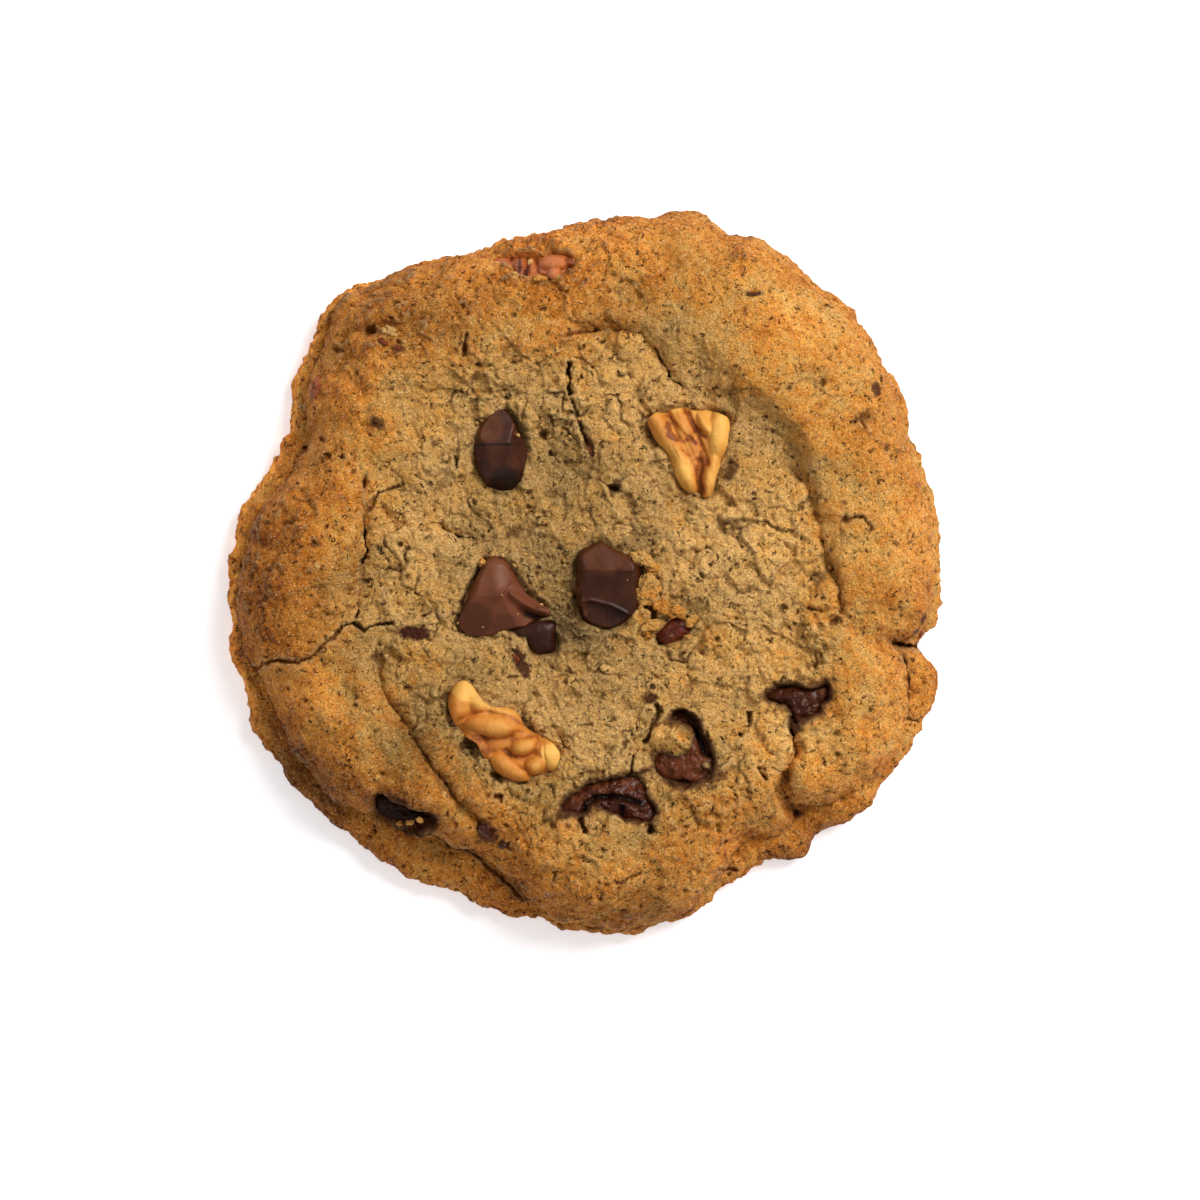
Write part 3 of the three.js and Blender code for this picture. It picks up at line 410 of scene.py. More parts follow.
def noise(p, size, seed):
    """Smooth noise from -1 to 1 at points [[x, y, z], ...], with lumps of the given size."""
    q = p / size
    cell = np.floor(q).astype(np.int64)
    s, t, r = smoothstep(0, 1, q - cell).T
    i, j, k = cell.T
    total = 0
    for di, wi in ((0, 1 - s), (1, s)):
        for dj, wj in ((0, 1 - t), (1, t)):
            for dk, wk in ((0, 1 - r), (1, r)):
                total = total + wi * wj * wk * lattice(i + di, j + dj, k + dk, seed)
    return 2 * total - 1


def flat(x, y):
    """Points at height 0."""
    return np.stack([x, y, np.zeros_like(x)], axis=-1)


def bell(x, y, cx, cy, radius):
    """1 at a centre, falling off smoothly round it."""
    return np.exp(-((x - cx) ** 2 + (y - cy) ** 2) / radius**2)


def in_oval(x, y, cx, cy, length, width, turn):
    """Places along and across an oval turned by turn degrees, in units of its half length and half width."""
    angle = math.radians(turn)
    u = ((x - cx) * math.cos(angle) + (y - cy) * math.sin(angle)) / length
    v = ((y - cy) * math.cos(angle) - (x - cx) * math.sin(angle)) / width
    return u, v


def wave(p, size, seed):
    """Rounder noise of about -1 to 1, from a random slope at each lattice place."""
    q = p / size
    cell = np.floor(q).astype(np.int64)
    offset = q - cell
    blend = offset**3 * (offset * (offset * 6 - 15) + 10)
    total = 0
    for corner in np.ndindex(2, 2, 2):
        i, j, k = (cell + corner).T
        slope = np.stack([lattice(i, j, k, seed + 400 + n) for n in range(3)], axis=-1) * 2 - 1
        weight = np.prod(np.where(np.array(corner) == 1, blend, 1 - blend), axis=-1)
        total = total + weight * (slope * (offset - corner)).sum(axis=-1)
    return 1.6 * total


def layered(p, size, seed, layers=3, fall=0.5, shape=lambda v: v):
    """Noise with finer layers, each half the size and fall times the strength of the one before."""
    strengths = fall ** np.arange(layers)
    return sum(s * shape(wave(p, size / 2**n, seed + n)) for n, s in enumerate(strengths)) / strengths.sum()


def puffed(p, size, seed, layers=3, fall=0.55):
    """Rounded puffs with sharp creases between them, from 0 in a crease to about 1."""
    return layered(p, size, seed, layers, fall, lambda v: np.minimum(1, 1.9 * np.abs(v)))


def cells(p, size, seed):
    """Distances to the nearest and second nearest of scattered points, in units of size, and the nearest's
    own random number."""
    q = p / size
    cell = np.floor(q).astype(np.int64)
    nearest = np.full(len(p), 9.0)
    second = np.full(len(p), 9.0)
    own = np.zeros(len(p))
    for di in (-1, 0, 1):
        for dj in (-1, 0, 1):
            for dk in (-1, 0, 1):
                i, j, k = (cell + [di, dj, dk]).T
                spot = np.stack([i + lattice(i, j, k, seed), j + lattice(i, j, k, seed + 1),
                                 k + lattice(i, j, k, seed + 2)], axis=-1)
                distance = np.sqrt(((q - spot) ** 2).sum(axis=-1))
                closer = distance < nearest
                second = np.where(closer, nearest, np.minimum(second, distance))
                own = np.where(closer, lattice(i, j, k, seed + 3), own)
                nearest = np.minimum(nearest, distance)
    return nearest, second, own


def from_line(x, y, line):
    """Distances of points from a line, how far along it they are (0 to 1), and whether they are on its
    left."""
    distance = np.full(np.shape(x), np.inf)
    along = np.zeros(np.shape(x))
    left = np.zeros(np.shape(x), bool)
    for n, ((ax, ay), (bx, by)) in enumerate(zip(line, line[1:])):
        dx, dy = bx - ax, by - ay
        t = np.clip(((x - ax) * dx + (y - ay) * dy) / (dx * dx + dy * dy), 0, 1)
        here = np.hypot(x - ax - t * dx, y - ay - t * dy)
        closer = here < distance
        distance = np.where(closer, here, distance)
        along = np.where(closer, (n + t) / (len(line) - 1), along)
        left = np.where(closer, dx * (y - ay) - dy * (x - ax) > 0, left)
    return distance, along, left


def outside(x, y, outline):
    """Distance of points outside a closed outline, below 0 within it."""
    inside = np.zeros(np.shape(x), bool)
    for (ax, ay), (bx, by) in zip(outline, np.roll(outline, -1, axis=0)):
        crosses = (ay > y) != (by > y)
        inside ^= crosses & (x < ax + (y - ay) / (by - ay if by != ay else 1e-9) * (bx - ax))
    closed = [*map(tuple, outline), tuple(outline[0])]
    distance = from_line(x, y, closed)[0]
    return np.where(inside, -distance, distance)


# The dough's form

def swelling_height(x, y):
    """Height of the dough's rounded swellings."""
    total = 0
    for *oval, height in SWELLINGS:
        u, v = in_oval(x, y, *oval)
        total = total + height * np.exp(-(u * u + v * v))
    return total


def fold_height(x, y):
    """Height of the dough's folds: a groove with a raised lip on one side."""
    total = 0
    for width, depth, lip, *line in FOLDS:
        distance, along, left = from_line(x, y, line)
        ends = smoothstep(0, FOLD_ENDS, along) * smoothstep(0, FOLD_ENDS, 1 - along)
        raised = np.where(left == (lip > 0), abs(lip), 0)
        total = total + ends * (raised * np.exp(-((distance - LIP_OFFSET) / LIP_WIDTH) ** 2)
                                - depth * np.exp(-(distance / width) ** 2))
    return total


def from_edge(x, y):
    """How far points are inside the dough's edge, and their bearings in degrees."""
    bearing = np.degrees(np.arctan2(y, x)) % 360
    return around(EDGE, bearing) - np.hypot(x, y), bearing


def form_height(x, y):
    """Height of the dough's top without its crumb and cracks."""
    inside, bearing = from_edge(x, y)
    foot_width = np.maximum(0, around(FOOT_WIDTH, bearing))
    foot = (FOOT_HEIGHT - EDGE_HEIGHT) * quarter(inside / FOOT_ROUND)
    shoulder = (RIM_HEIGHT - EDGE_HEIGHT) * quarter((inside - foot_width) / SHOULDER)
    sunk = (RIM_HEIGHT - MIDDLE_HEIGHT) * smoothstep(RIM_WIDTH, RIM_WIDTH + SINK_WIDTH, inside)
    lumps = sum(height * noise(flat(x, y), size, seed) for size, height, seed in LUMPS)
    relief = swelling_height(x, y) + lumps + fold_height(x, y)
    return EDGE_HEIGHT + np.maximum(foot, shoulder) - sunk + relief * smoothstep(0, RELIEF_FADE, inside)


def smooth_outline(name, margin=0, step=TOPPING_STEP):
    """A topping's outline through its corners, evenly spaced, spread outwards by margin, and round at."""
    corners = np.array(TOPPINGS[name]["outline"], float)
    before, after, later = (np.roll(corners, shift, axis=0) for shift in (1, -1, -2))
    t = np.linspace(0, 1, STEPS_TO_A_CORNER, endpoint=False)[:, None, None]
    leave, arrive = TENSION * (after - before), TENSION * (later - corners)
    curve = hermite(t, corners, leave, after, arrive)
    curve = curve.transpose(1, 0, 2).reshape(-1, 2)
    closed = np.vstack([curve, curve[:1]])
    length = np.concatenate([[0], np.hypot(*np.diff(closed, axis=0).T).cumsum()])
    count = round(length[-1] / step)
    at = np.arange(count) / count * length[-1]
    points = np.stack([np.interp(at, length, closed[:, n]) for n in (0, 1)], axis=-1)
    ahead = np.roll(points, -1, axis=0)
    if (points[:, 0] * ahead[:, 1] - points[:, 1] * ahead[:, 0]).sum() < 0:
        points = points[::-1]
    along = np.roll(points, -1, axis=0) - np.roll(points, 1, axis=0)
    along /= np.hypot(*along.T)[:, None]
    return points + margin * np.stack([along[:, 1], -along[:, 0]], axis=-1)


def from_topping(name, x, y):
    """Distance of points outside a topping's outline, below 0 within it."""
    at_x, at_y = TOPPINGS[name]["at"]
    return outside(x - at_x, y - at_y, smooth_outline(name, 0, COARSE_STEP))


def seat_of(name):
    """How the dough lies round a topping: its mean height and its slopes."""
    round_it = smooth_outline(name, SEAT_MARGIN, SEAT_STEP)
    x, y = (round_it + TOPPINGS[name]["at"]).T
    heights = form_height(x, y)
    mean = heights.mean()
    slopes = [((heights - mean) * axis).sum() / (axis**2).sum() for axis in round_it.T]
    return mean, *slopes


SEATS = {name: seat_of(name) for name in TOPPINGS}


def crack_depth(x, y):
    """How deep the cracks and pits are, and how far a point is into one (0 to 1)."""
    p = flat(x, y)
    wx, wy = x + 0.5 * layered(p, 1.8, 71, 4, 0.7), y + 0.5 * layered(p, 1.8, 81, 4, 0.7)
    gape = 0.45 + 0.75 * smoothstep(-0.4, 0.5, wave(p, 1.9, 77))  # wide here, nearly shut there
    depth, dark = 0, 0
    for width, deep, *line in CRACKS:
        distance, along, _ = from_line(wx, wy, line)
        ends = smoothstep(0, 0.1, along) * smoothstep(0, 0.1, 1 - along)
        here = np.exp(-(distance / (width * gape)) ** 4) * ends
        depth, dark = np.maximum(depth, deep * here), np.maximum(dark, here)
    uneven = 1 + 0.55 * wave(p, 0.8, 73)
    for cx, cy, radius, deep in PITS:
        here = np.exp(-(uneven * np.hypot(wx - cx, wy - cy) / radius) ** 4)
        depth, dark = np.maximum(depth, deep * here), np.maximum(dark, here)
    return depth, dark


def stained(x, y):
    """How strongly a point is stained by chocolate or nut skin (0 to 1)."""
    p = flat(x, y)
    wx, wy = x + 0.7 * layered(p, 1.5, 87, 4, 0.75), y + 0.7 * layered(p, 1.5, 97, 4, 0.75)
    total = np.zeros(np.shape(x))
    ragged = 0.7 * layered(p, 1.0, 99, 3, 0.7)
    for *oval, strength in STAINS:
        apart = np.hypot(*in_oval(wx, wy, *oval))
        total = np.maximum(total, strength * smoothstep(1.3, 0.8, apart + ragged))
    for name in MELTED:
        apart = from_topping(name, x, y) + 1.3 * layered(p, 2.0, 91, 4, 0.7)
        total = np.maximum(total, 0.9 * smoothstep(1.2, 0.0, apart))
    for cx, cy, radius in ISLANDS:
        total *= smoothstep(0.55, 1.0, np.hypot(x - cx, y - cy) / radius)
    return total


# Meshes

def ring_faces(counts):
    """Triangles over rings of points, from a first point, over the rings, to a last point."""
    faces = []
    starts = np.concatenate([[1], 1 + np.cumsum(counts)])
    first = np.arange(counts[0])
    faces.append(np.stack([0 * first, 1 + first, 1 + (first + 1) % counts[0]], axis=-1))
    for k in range(len(counts) - 1):
        inner, outer = counts[k], counts[k + 1]
        i = j = 0
        strip = []
        while i < inner or j < outer:
            a, b = starts[k] + i % inner, starts[k + 1] + j % outer
            if j < outer and (i >= inner or (j + 1) * inner <= (i + 1) * outer):
                j += 1
                strip.append((a, b, starts[k + 1] + j % outer))
            else:
                i += 1
                strip.append((a, b, starts[k] + i % inner))
        faces.append(np.array(strip))
    last = np.arange(counts[-1])
    faces.append(np.stack([0 * last + starts[-1], starts[-2] + (last + 1) % counts[-1], starts[-2] + last],
                          axis=-1))
    return np.concatenate(faces)


def normals_of(points, faces):
    """The mesh's outward directions at its points."""
    a, b, c = (points[faces[:, n]] for n in range(3))
    across = np.cross(b - a, c - a)
    total = np.zeros_like(points)
    for n in range(3):
        for axis in range(3):
            total[:, axis] += np.bincount(faces[:, n], across[:, axis], len(points))
    return total / np.maximum(np.linalg.norm(total, axis=1, keepdims=True), 1e-12)


def spread(values, faces, times):
    """Values evened out over the mesh's neighbours."""
    count = np.maximum(3 * np.bincount(faces.ravel(), minlength=len(values)), 1)
    for _ in range(times):
        sums = values[faces].sum(axis=1)
        values = sum(np.bincount(faces[:, n], sums, len(values)) for n in range(3)) / count
    return values


def make_piece(name, points, faces, material, masks=None, sharp=None):
    """A smooth-shaded piece from points in millimetres, with number masks that its material reads. Edges
    between points that sharp marks stay sharp."""
    mesh = bpy.data.meshes.new(name)
    mesh.vertices.add(len(points))
    mesh.vertices.foreach_set("co", np.ascontiguousarray(points * MM, np.float32).ravel())
    mesh.loops.add(3 * len(faces))
    mesh.loops.foreach_set("vertex_index", np.ascontiguousarray(faces, np.int32).ravel())
    mesh.polygons.add(len(faces))
    mesh.polygons.foreach_set("loop_start", np.arange(0, 3 * len(faces), 3, dtype=np.int32))
    mesh.polygons.foreach_set("use_smooth", np.ones(len(faces), bool))
    mesh.update()
    if sharp is not None:
        ends = np.zeros(2 * len(mesh.edges), np.int32)
        mesh.edges.foreach_get("vertices", ends)
        mesh.edges.foreach_set("use_edge_sharp", sharp[ends.reshape(-1, 2)].all(axis=1))
    for mask, values in (masks or {}).items():
        layer = mesh.attributes.new(mask, "FLOAT", "POINT")
        layer.data.foreach_set("value", np.ascontiguousarray(values, np.float32))
    mesh.materials.append(material)
    piece = bpy.data.objects.new(name, mesh)
    bpy.context.scene.collection.objects.link(piece)
    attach(piece, "root")
    return piece


# Materials

class Nodes:
    """A short way to build a node tree."""

    def __init__(self, name):
        self.material = bpy.data.materials.new(name)
        self.material.use_nodes = True
        self.tree = self.material.node_tree
        self.tree.nodes.clear()
        self.output = self.add("ShaderNodeOutputMaterial")
        self.shader = self.add("ShaderNodeBsdfPrincipled")
        self.link(self.shader.outputs["BSDF"], self.output.inputs["Surface"])
        self.place = self.add("ShaderNodeTexCoord").outputs["Object"]

    def add(self, kind, **settings):
        node = self.tree.nodes.new(kind)
        for key, value in settings.items():
            setattr(node, key, value)
        return node

    def link(self, source, target):
        self.tree.links.new(source, target)

    def put(self, socket, value):
        if hasattr(value, "is_linked"):
            self.link(value, socket)
        else:
            socket.default_value = value

    def mask(self, name):
        return self.add("ShaderNodeAttribute", attribute_name=name).outputs["Fac"]

    def noise(self, size, detail=3, roughness=0.55, distortion=0.0):
        """Noise from 0 to 1 with lumps of size millimetres."""
        node = self.add("ShaderNodeTexNoise")
        self.link(self.place, node.inputs["Vector"])
        for socket, value in (("Scale", 1 / (size * MM)), ("Detail", detail), ("Roughness", roughness),
                              ("Distortion", distortion)):
            node.inputs[socket].default_value = value
        return node.outputs["Fac"]

    def cells(self, size, output="Distance"):
        node = self.add("ShaderNodeTexVoronoi")
        self.link(self.place, node.inputs["Vector"])
        node.inputs["Scale"].default_value = 1 / (size * MM)
        return node.outputs[output]

    def math(self, operation, a, b=0.0, clamp=False):
        node = self.add("ShaderNodeMath", operation=operation, use_clamp=clamp)
        self.put(node.inputs[0], a)
        self.put(node.inputs[1], b)
        return node.outputs[0]

    def span(self, value, low, high, to_low=0.0, to_high=1.0):
        """value from low to high becomes to_low to to_high, smoothly, and stops there."""
        node = self.add("ShaderNodeMapRange", interpolation_type="SMOOTHSTEP")
        for n, v in enumerate((value, low, high, to_low, to_high)):
            self.put(node.inputs[n], v)
        return node.outputs[0]

    def mix(self, share, a, b, blend="MIX"):
        node = self.add("ShaderNodeMix", data_type="RGBA", blend_type=blend)
        self.put(node.inputs["Factor"], share)
        for socket, value in (("A", a), ("B", b)):
            target = next(s for s in node.inputs if s.name == socket and s.type == "RGBA")
            if hasattr(value, "is_linked"):
                self.link(value, target)
            else:
                target.default_value = (*value, 1)
        return next(s for s in node.outputs if s.type == "RGBA")

    def ramp(self, value, *stops):
        """A colour ramp over stops (place, colour)."""
        node = self.add("ShaderNodeValToRGB")
        elements = node.color_ramp.elements
        while len(elements) < len(stops):
            elements.new(0.5)
        for element, (place, colour) in zip(elements, stops):
            element.position = place
            element.color = (*colour, 1)
        self.put(node.inputs[0], value)
        return node.outputs["Color"]

    def bump(self, height, distance, strength=1.0, normal=None):
        """distance is the real height in millimetres of a rise from 0 to 1."""
        node = self.add("ShaderNodeBump")
        node.inputs["Strength"].default_value = strength
        node.inputs["Distance"].default_value = distance * MM
        self.link(height, node.inputs["Height"])
        if normal is not None:
            self.link(normal, node.inputs["Normal"])
        return node.outputs["Normal"]

    def set(self, **sockets):
        for name, value in sockets.items():
            self.put(self.shader.inputs[name.replace("_", " ")], value)


def srgb(r, g, b):
    """A colour given as sRGB from 0 to 1."""
    return tuple(c / 12.92 if c <= 0.04045 else ((c + 0.055) / 1.055) ** 2.4 for c in (r, g, b))


PALE = srgb(0.86, 0.67, 0.40)
TAN = srgb(0.87, 0.65, 0.34)
GOLD = srgb(0.87, 0.57, 0.23)
BROWN = srgb(0.76, 0.445, 0.14)
DEEP_BROWN = srgb(0.51, 0.26, 0.07)
# painted shade in hollows and pores: darker in the middle, browner on the rim
HOLLOW_SHADE_BROWN = srgb(0.22, 0.11, 0.045)
RIM_HOLLOW_SHADE = srgb(0.40, 0.18, 0.04)
CHOCOLATE_STAIN = srgb(0.30, 0.15, 0.09)
# painted highlight on raised grains
PEAK_HIGHLIGHT_TAN = srgb(0.92, 0.79, 0.54)
# pale sugar crystals, partly painted glints
SUGAR_CRYSTAL_GLINT = srgb(0.98, 0.90, 0.72)
WORN_CHOCOLATE = srgb(0.45, 0.24, 0.13)
# darker chocolate, and painted shade in gaps and on shaded facets
DARK_AND_SHADED_CHOCOLATE = srgb(0.08, 0.03, 0.015)
NUT_FLECK = srgb(0.95, 0.80, 0.52)


def dough_material(name):
    """Baked dough: browning, light, painted shade in hollows, painted highlight on raised grains, and stain
    are masks on the mesh.
    """
    n = Nodes(name)
    mottle = n.math("MULTIPLY", n.math("SUBTRACT", n.noise(1.8, 5, 0.8), 0.5), 1.35)
    browning = n.math("ADD", n.mask("browning"), mottle)
    colour = n.ramp(browning, (0.0, PALE), (0.3, TAN), (0.55, GOLD), (0.8, BROWN), (1.0, DEEP_BROWN))
    # each grain of the crumb has its own shade, with finer specks over it
    shade = n.math("ADD", n.span(n.cells(FINE_GRAIN, "Color"), 0.2, 0.8, 0.84, 1.00),
                   n.span(n.noise(0.26, 2, 0.7), 0.3, 0.7, -0.27, 0.27))
    shade = n.math("MULTIPLY", shade, n.mask("light"))
    colour = n.mix(1.0, colour, shade, "MULTIPLY")
    # painted highlight on the raised grains
    colour = n.mix(n.math("MULTIPLY", n.mask("peak_highlight"), 0.28), colour, PEAK_HIGHLIGHT_TAN)
    # pale sugar crystals, partly painted glints
    crystal_glint = n.noise(0.26, 1, 0.5)
    colour = n.mix(n.span(crystal_glint, 0.66, 0.74, 0, 0.55), colour, SUGAR_CRYSTAL_GLINT)
    hole_noise = n.noise(0.75, 3, 0.6, 1.0)
    # painted shade in small pores
    hole_shade = n.math("MULTIPLY", n.span(hole_noise, 0.385, 0.345), n.span(n.noise(4, 2), 0.34, 0.48))
    colour = n.mix(n.math("MULTIPLY", hole_shade, 0.85), colour, HOLLOW_SHADE_BROWN)
    # painted shade in the hollows, browner on the rim
    deep = n.mix(n.span(browning, 0.25, 0.65), HOLLOW_SHADE_BROWN, RIM_HOLLOW_SHADE)
    colour = n.mix(n.mask("hollow_shade"), colour, n.mix(0.3, deep, colour))
    colour = n.mix(n.mask("stain"), colour, CHOCOLATE_STAIN)
    normal = n.bump(n.noise(0.75, 6, 0.78), 0.5, 1.0)
    normal = n.bump(n.math("SUBTRACT", 1.0, n.cells(FINE_GRAIN)), 0.13, 1.0, normal)
    normal = n.bump(n.span(hole_noise, 0.32, 0.41), 0.4, 1.0, normal)
    n.set(Base_Color=colour, Roughness=n.span(n.noise(0.5), 0.3, 0.7, 0.5, 0.9), Normal=normal)
    n.set(Subsurface_Weight=0.06, Subsurface_Radius=(1.0, 0.5, 0.2), Subsurface_Scale=0.5 * MM)
    n.set(Specular_IOR_Level=0.12)
    return n.material


def chocolate_material(name, base, lift, roughness, gloss_noise=1.2, specular=0.24):
    """lift is the colour of its lighter places, from bloom and from painted light. worn (broken places), deep
    (darker chocolate, and painted shade in gaps and on shaded facets) and lift (painted light on lit facets,
    and a lighter tone on melted_ring) are masks.
    """
    n = Nodes(name)
    bloom = n.noise(gloss_noise, 4, 0.6)
    lifted = n.math("ADD", n.span(bloom, 0.35, 0.75, 0, 0.4), n.mask("lift"), clamp=True)
    colour = n.mix(lifted, base, lift)
    colour = n.mix(n.mask("worn"), colour, WORN_CHOCOLATE)
    colour = n.mix(n.mask("deep"), colour, DARK_AND_SHADED_CHOCOLATE)
    normal = n.bump(n.noise(0.35, 3, 0.6), 0.02, 0.7)
    n.set(Base_Color=colour, Roughness=n.span(bloom, 0.3, 0.7, roughness, roughness + 0.16), Normal=normal)
    n.set(Specular_IOR_Level=specular, Subsurface_Weight=0.03, Subsurface_Radius=(1.0, 0.4, 0.2),
          Subsurface_Scale=0.4 * MM)
    return n.material


def nut_material(name, flesh, skin, vein, roughness=0.46, streaks=0.45):
    """skin is a mask: 0 is bare flesh, 1 is brown skin; groove darkens."""
    n = Nodes(name)
    streak = n.noise(0.9, 5, 0.7, 1.2)
    streaked = n.math("MULTIPLY", n.math("SUBTRACT", streak, 0.5), streaks)
    skinned = n.math("ADD", n.mask("skin"), streaked, clamp=True)
    between = tuple(0.55 * p + 0.45 * q for p, q in zip(flesh, skin))
    colour = n.ramp(skinned, (0.05, flesh), (0.4, between), (0.85, skin), (1.0, vein))
    colour = n.mix(n.span(n.noise(0.4, 3, 0.6), 0.55, 0.8, 0, 0.2), colour, NUT_FLECK)
    colour = n.mix(n.mask("groove"), colour, vein)
    normal = n.bump(n.noise(0.4, 4, 0.7), 0.08, 0.8, n.bump(streak, 0.18, 0.8))
    n.set(Base_Color=colour, Normal=normal,
          Roughness=n.span(streak, 0.3, 0.7, roughness - 0.08, roughness + 0.12))
    n.set(Specular_IOR_Level=0.3, Subsurface_Weight=0.1, Subsurface_Radius=(1.0, 0.6, 0.3),
          Subsurface_Scale=0.6 * MM)
    return n.material


# The dough

def crumbliness(x, y):
    """0 on the smoother rim, 1 in the crumbly middle."""
    apart = outside(x, y, np.array(CRUMBLY, float))
    return smoothstep(3.0, -3.0, apart + 2.0 * layered(flat(x, y), 6, 31))


def opening(x, y):
    """How far a point is into one of the torn openings with melted chocolate (0 to 1), its distance outside
    the nearest topping, and how far it is on an island of dough."""
    p = flat(x, y)
    ragged = 0.8 * layered(p, 2.2, 41, 4, 0.65)
    torn, island = 0, 0
    nearest = np.full(np.shape(x), 99.0)
    for name in TOPPINGS:
        apart = from_topping(name, x, y)
        if name in MELTED:
            torn = np.maximum(torn, smoothstep(0.25, -0.45, apart + ragged))
        nearest = np.minimum(nearest, apart)
    for cx, cy, radius in ISLANDS:
        island = np.maximum(island, smoothstep(0.25, -0.35, np.hypot(x - cx, y - cy) - radius + ragged))
    return torn * (1 - island), nearest, island


def dough_ring(inset, step, height=None):
    """Points round the dough at a distance inside its edge, on its top or at the given height."""
    share = 1 - inset / MEAN_RADIUS
    count = max(8, round(2 * math.pi * MEAN_RADIUS * share / step))
    bearing = 360 * np.arange(count) / count
    radius = around(EDGE, bearing) * share
    x, y = radius * np.cos(np.radians(bearing)), radius * np.sin(np.radians(bearing))
    return np.stack([x, y, form_height(x, y) if height is None else np.full(count, height)], axis=-1)


def dough_rings():
    """The dough's rings of points from its middle over the edge to under the base, with the number of the
    ring that borders its two pieces and how many points are on top, the middle one with them."""
    # The rings run evenly from the middle, then follow the shoulder's rounding down to the edge.
    arc = 1.2 * (RIM_HEIGHT + SHOULDER) / 2 * 1.15
    side = SHOULDER * (1 - np.cos(np.linspace(0, math.pi / 2, round(arc / RIM_STEP))))
    inner = np.arange(MEAN_RADIUS - MIDDLE_STEP, MIDDLE_INSET, -MIDDLE_STEP)
    outer = np.linspace(MIDDLE_INSET, side[-1], round((MIDDLE_INSET - side[-1]) / RIM_STEP))
    under = np.arange(BASE_INSET + UNDERSIDE_STEP, MEAN_RADIUS - UNDERSIDE_STEP, UNDERSIDE_STEP)
    rings = [dough_ring(inset, MIDDLE_STEP) for inset in [*inner, MIDDLE_INSET]]
    border = len(rings) - 1
    rings += [dough_ring(inset, RIM_STEP) for inset in [*outer[1:], *side[-2::-1]]]
    top_count = 1 + sum(map(len, rings))
    rings += [dough_ring(inset, CORNER_STEP, share * EDGE_HEIGHT) for inset, share in CORNER]
    rings += [dough_ring(inset, UNDERSIDE_STEP, 0.0) for inset in under]
    return rings, border, top_count


def crumb_rise(points, warped, middle, broad):
    """How far the crumb stands above the dough's form: bumps, puffs, clumps and grains."""
    broken = smoothstep(-0.5, 0.5, wave(points, 9, 15) + 0.3)  # crumblier in some places than in others
    rough = (0.5 + 0.68 * middle) * (0.6 + 0.4 * broken)
    for cx, cy, radius, more in CRUMBLY_RIM:
        rough += more * bell(points[:, 0], points[:, 1], cx, cy, radius)
    rise = (1.0 - 0.4 * middle) * broad + 0.38 * (1 - 0.5 * middle) * layered(points, 2.4, 39, 3, 0.75)
    rise += rough * 0.7 * (puffed(warped, 3.2, 21, 3, 0.6) - 0.5)
    for size, height, seed in CLUMPS:
        rise += rough * height * smoothstep(-CLUMP_SIDE / size, CLUMP_SIDE / size, wave(warped, size, seed))
    for size, height, seed in GRAINS:
        near, _, own = cells(warped, size, seed)
        rise += height * (0.45 + 0.6 * rough) * (1 - 1.6 * near**2 + 0.9 * own)
    return rise


def tears(points, warped, middle):
    """Crevices between clumps, open here and shut there (0 to 1)."""
    total = 0
    for size, width, share, seed in CREVICES:
        line = wave(warped, size, seed) + 0.35 * wave(warped, 0.4 * size, seed + 1)
        distance = np.abs(line) * size / 1.6
        where = smoothstep(share, share + 0.3, wave(points, 1.7 * size, seed + 2)) * (0.3 + 0.7 * middle)
        open_here = smoothstep(-0.2, 0.15, wave(points, 0.6 * size, seed + 3))
        total = np.maximum(total, where * np.exp(-(distance / width) ** 2) * open_here)
    return total


def pores(points, warped):
    """Small pores, in clusters (0 to 1)."""
    near, _, own = cells(warped, 1.5, 61)
    crowd = smoothstep(-0.35, 0.45, wave(points, 7, 63))
    across = near * (1 + 0.5 * wave(points, 0.7, 64)) / (0.11 + 0.2 * own)
    return (own < 0.34 + 0.4 * crowd) * np.exp(-across ** 4)


def crust_colour(x, y, inside, bearing, middle, broad, points, steep):
    """How browned the crust is, and how light (1 as its colours are), with painted shade and light in some
    of the patches and on the outermost edge at the left.
    """
    browning = 0.10 + 0.42 * smoothstep(24, 6, inside + 4.0 * layered(flat(x, y), 13, 33))
    browning += 0.13 * steep + 0.16 * broad + 0.26 * layered(points, 7, 37) + 0.12 * layered(points, 2.6, 38)
    browning += around(BAKED, bearing) * smoothstep(20, 6, inside)
    light = 1 + 0.12 * layered(points, 9, 43, 3) + 0.16 * broad
    # the outermost edge at the left catches light from the table
    from_table = 0.8 * smoothstep(1.2, 0.3, inside) * smoothstep(95, 150, bearing)
    light += from_table * smoothstep(215, 195, bearing)
    # painted shade and light in some patches, as well as the crust's own tone
    for cx, cy, radius, change, lighter in TONE_AND_SHADE_PATCHES:
        share = bell(x, y, cx, cy, radius)
        browning += change * share
        light += lighter * share
    return browning, light


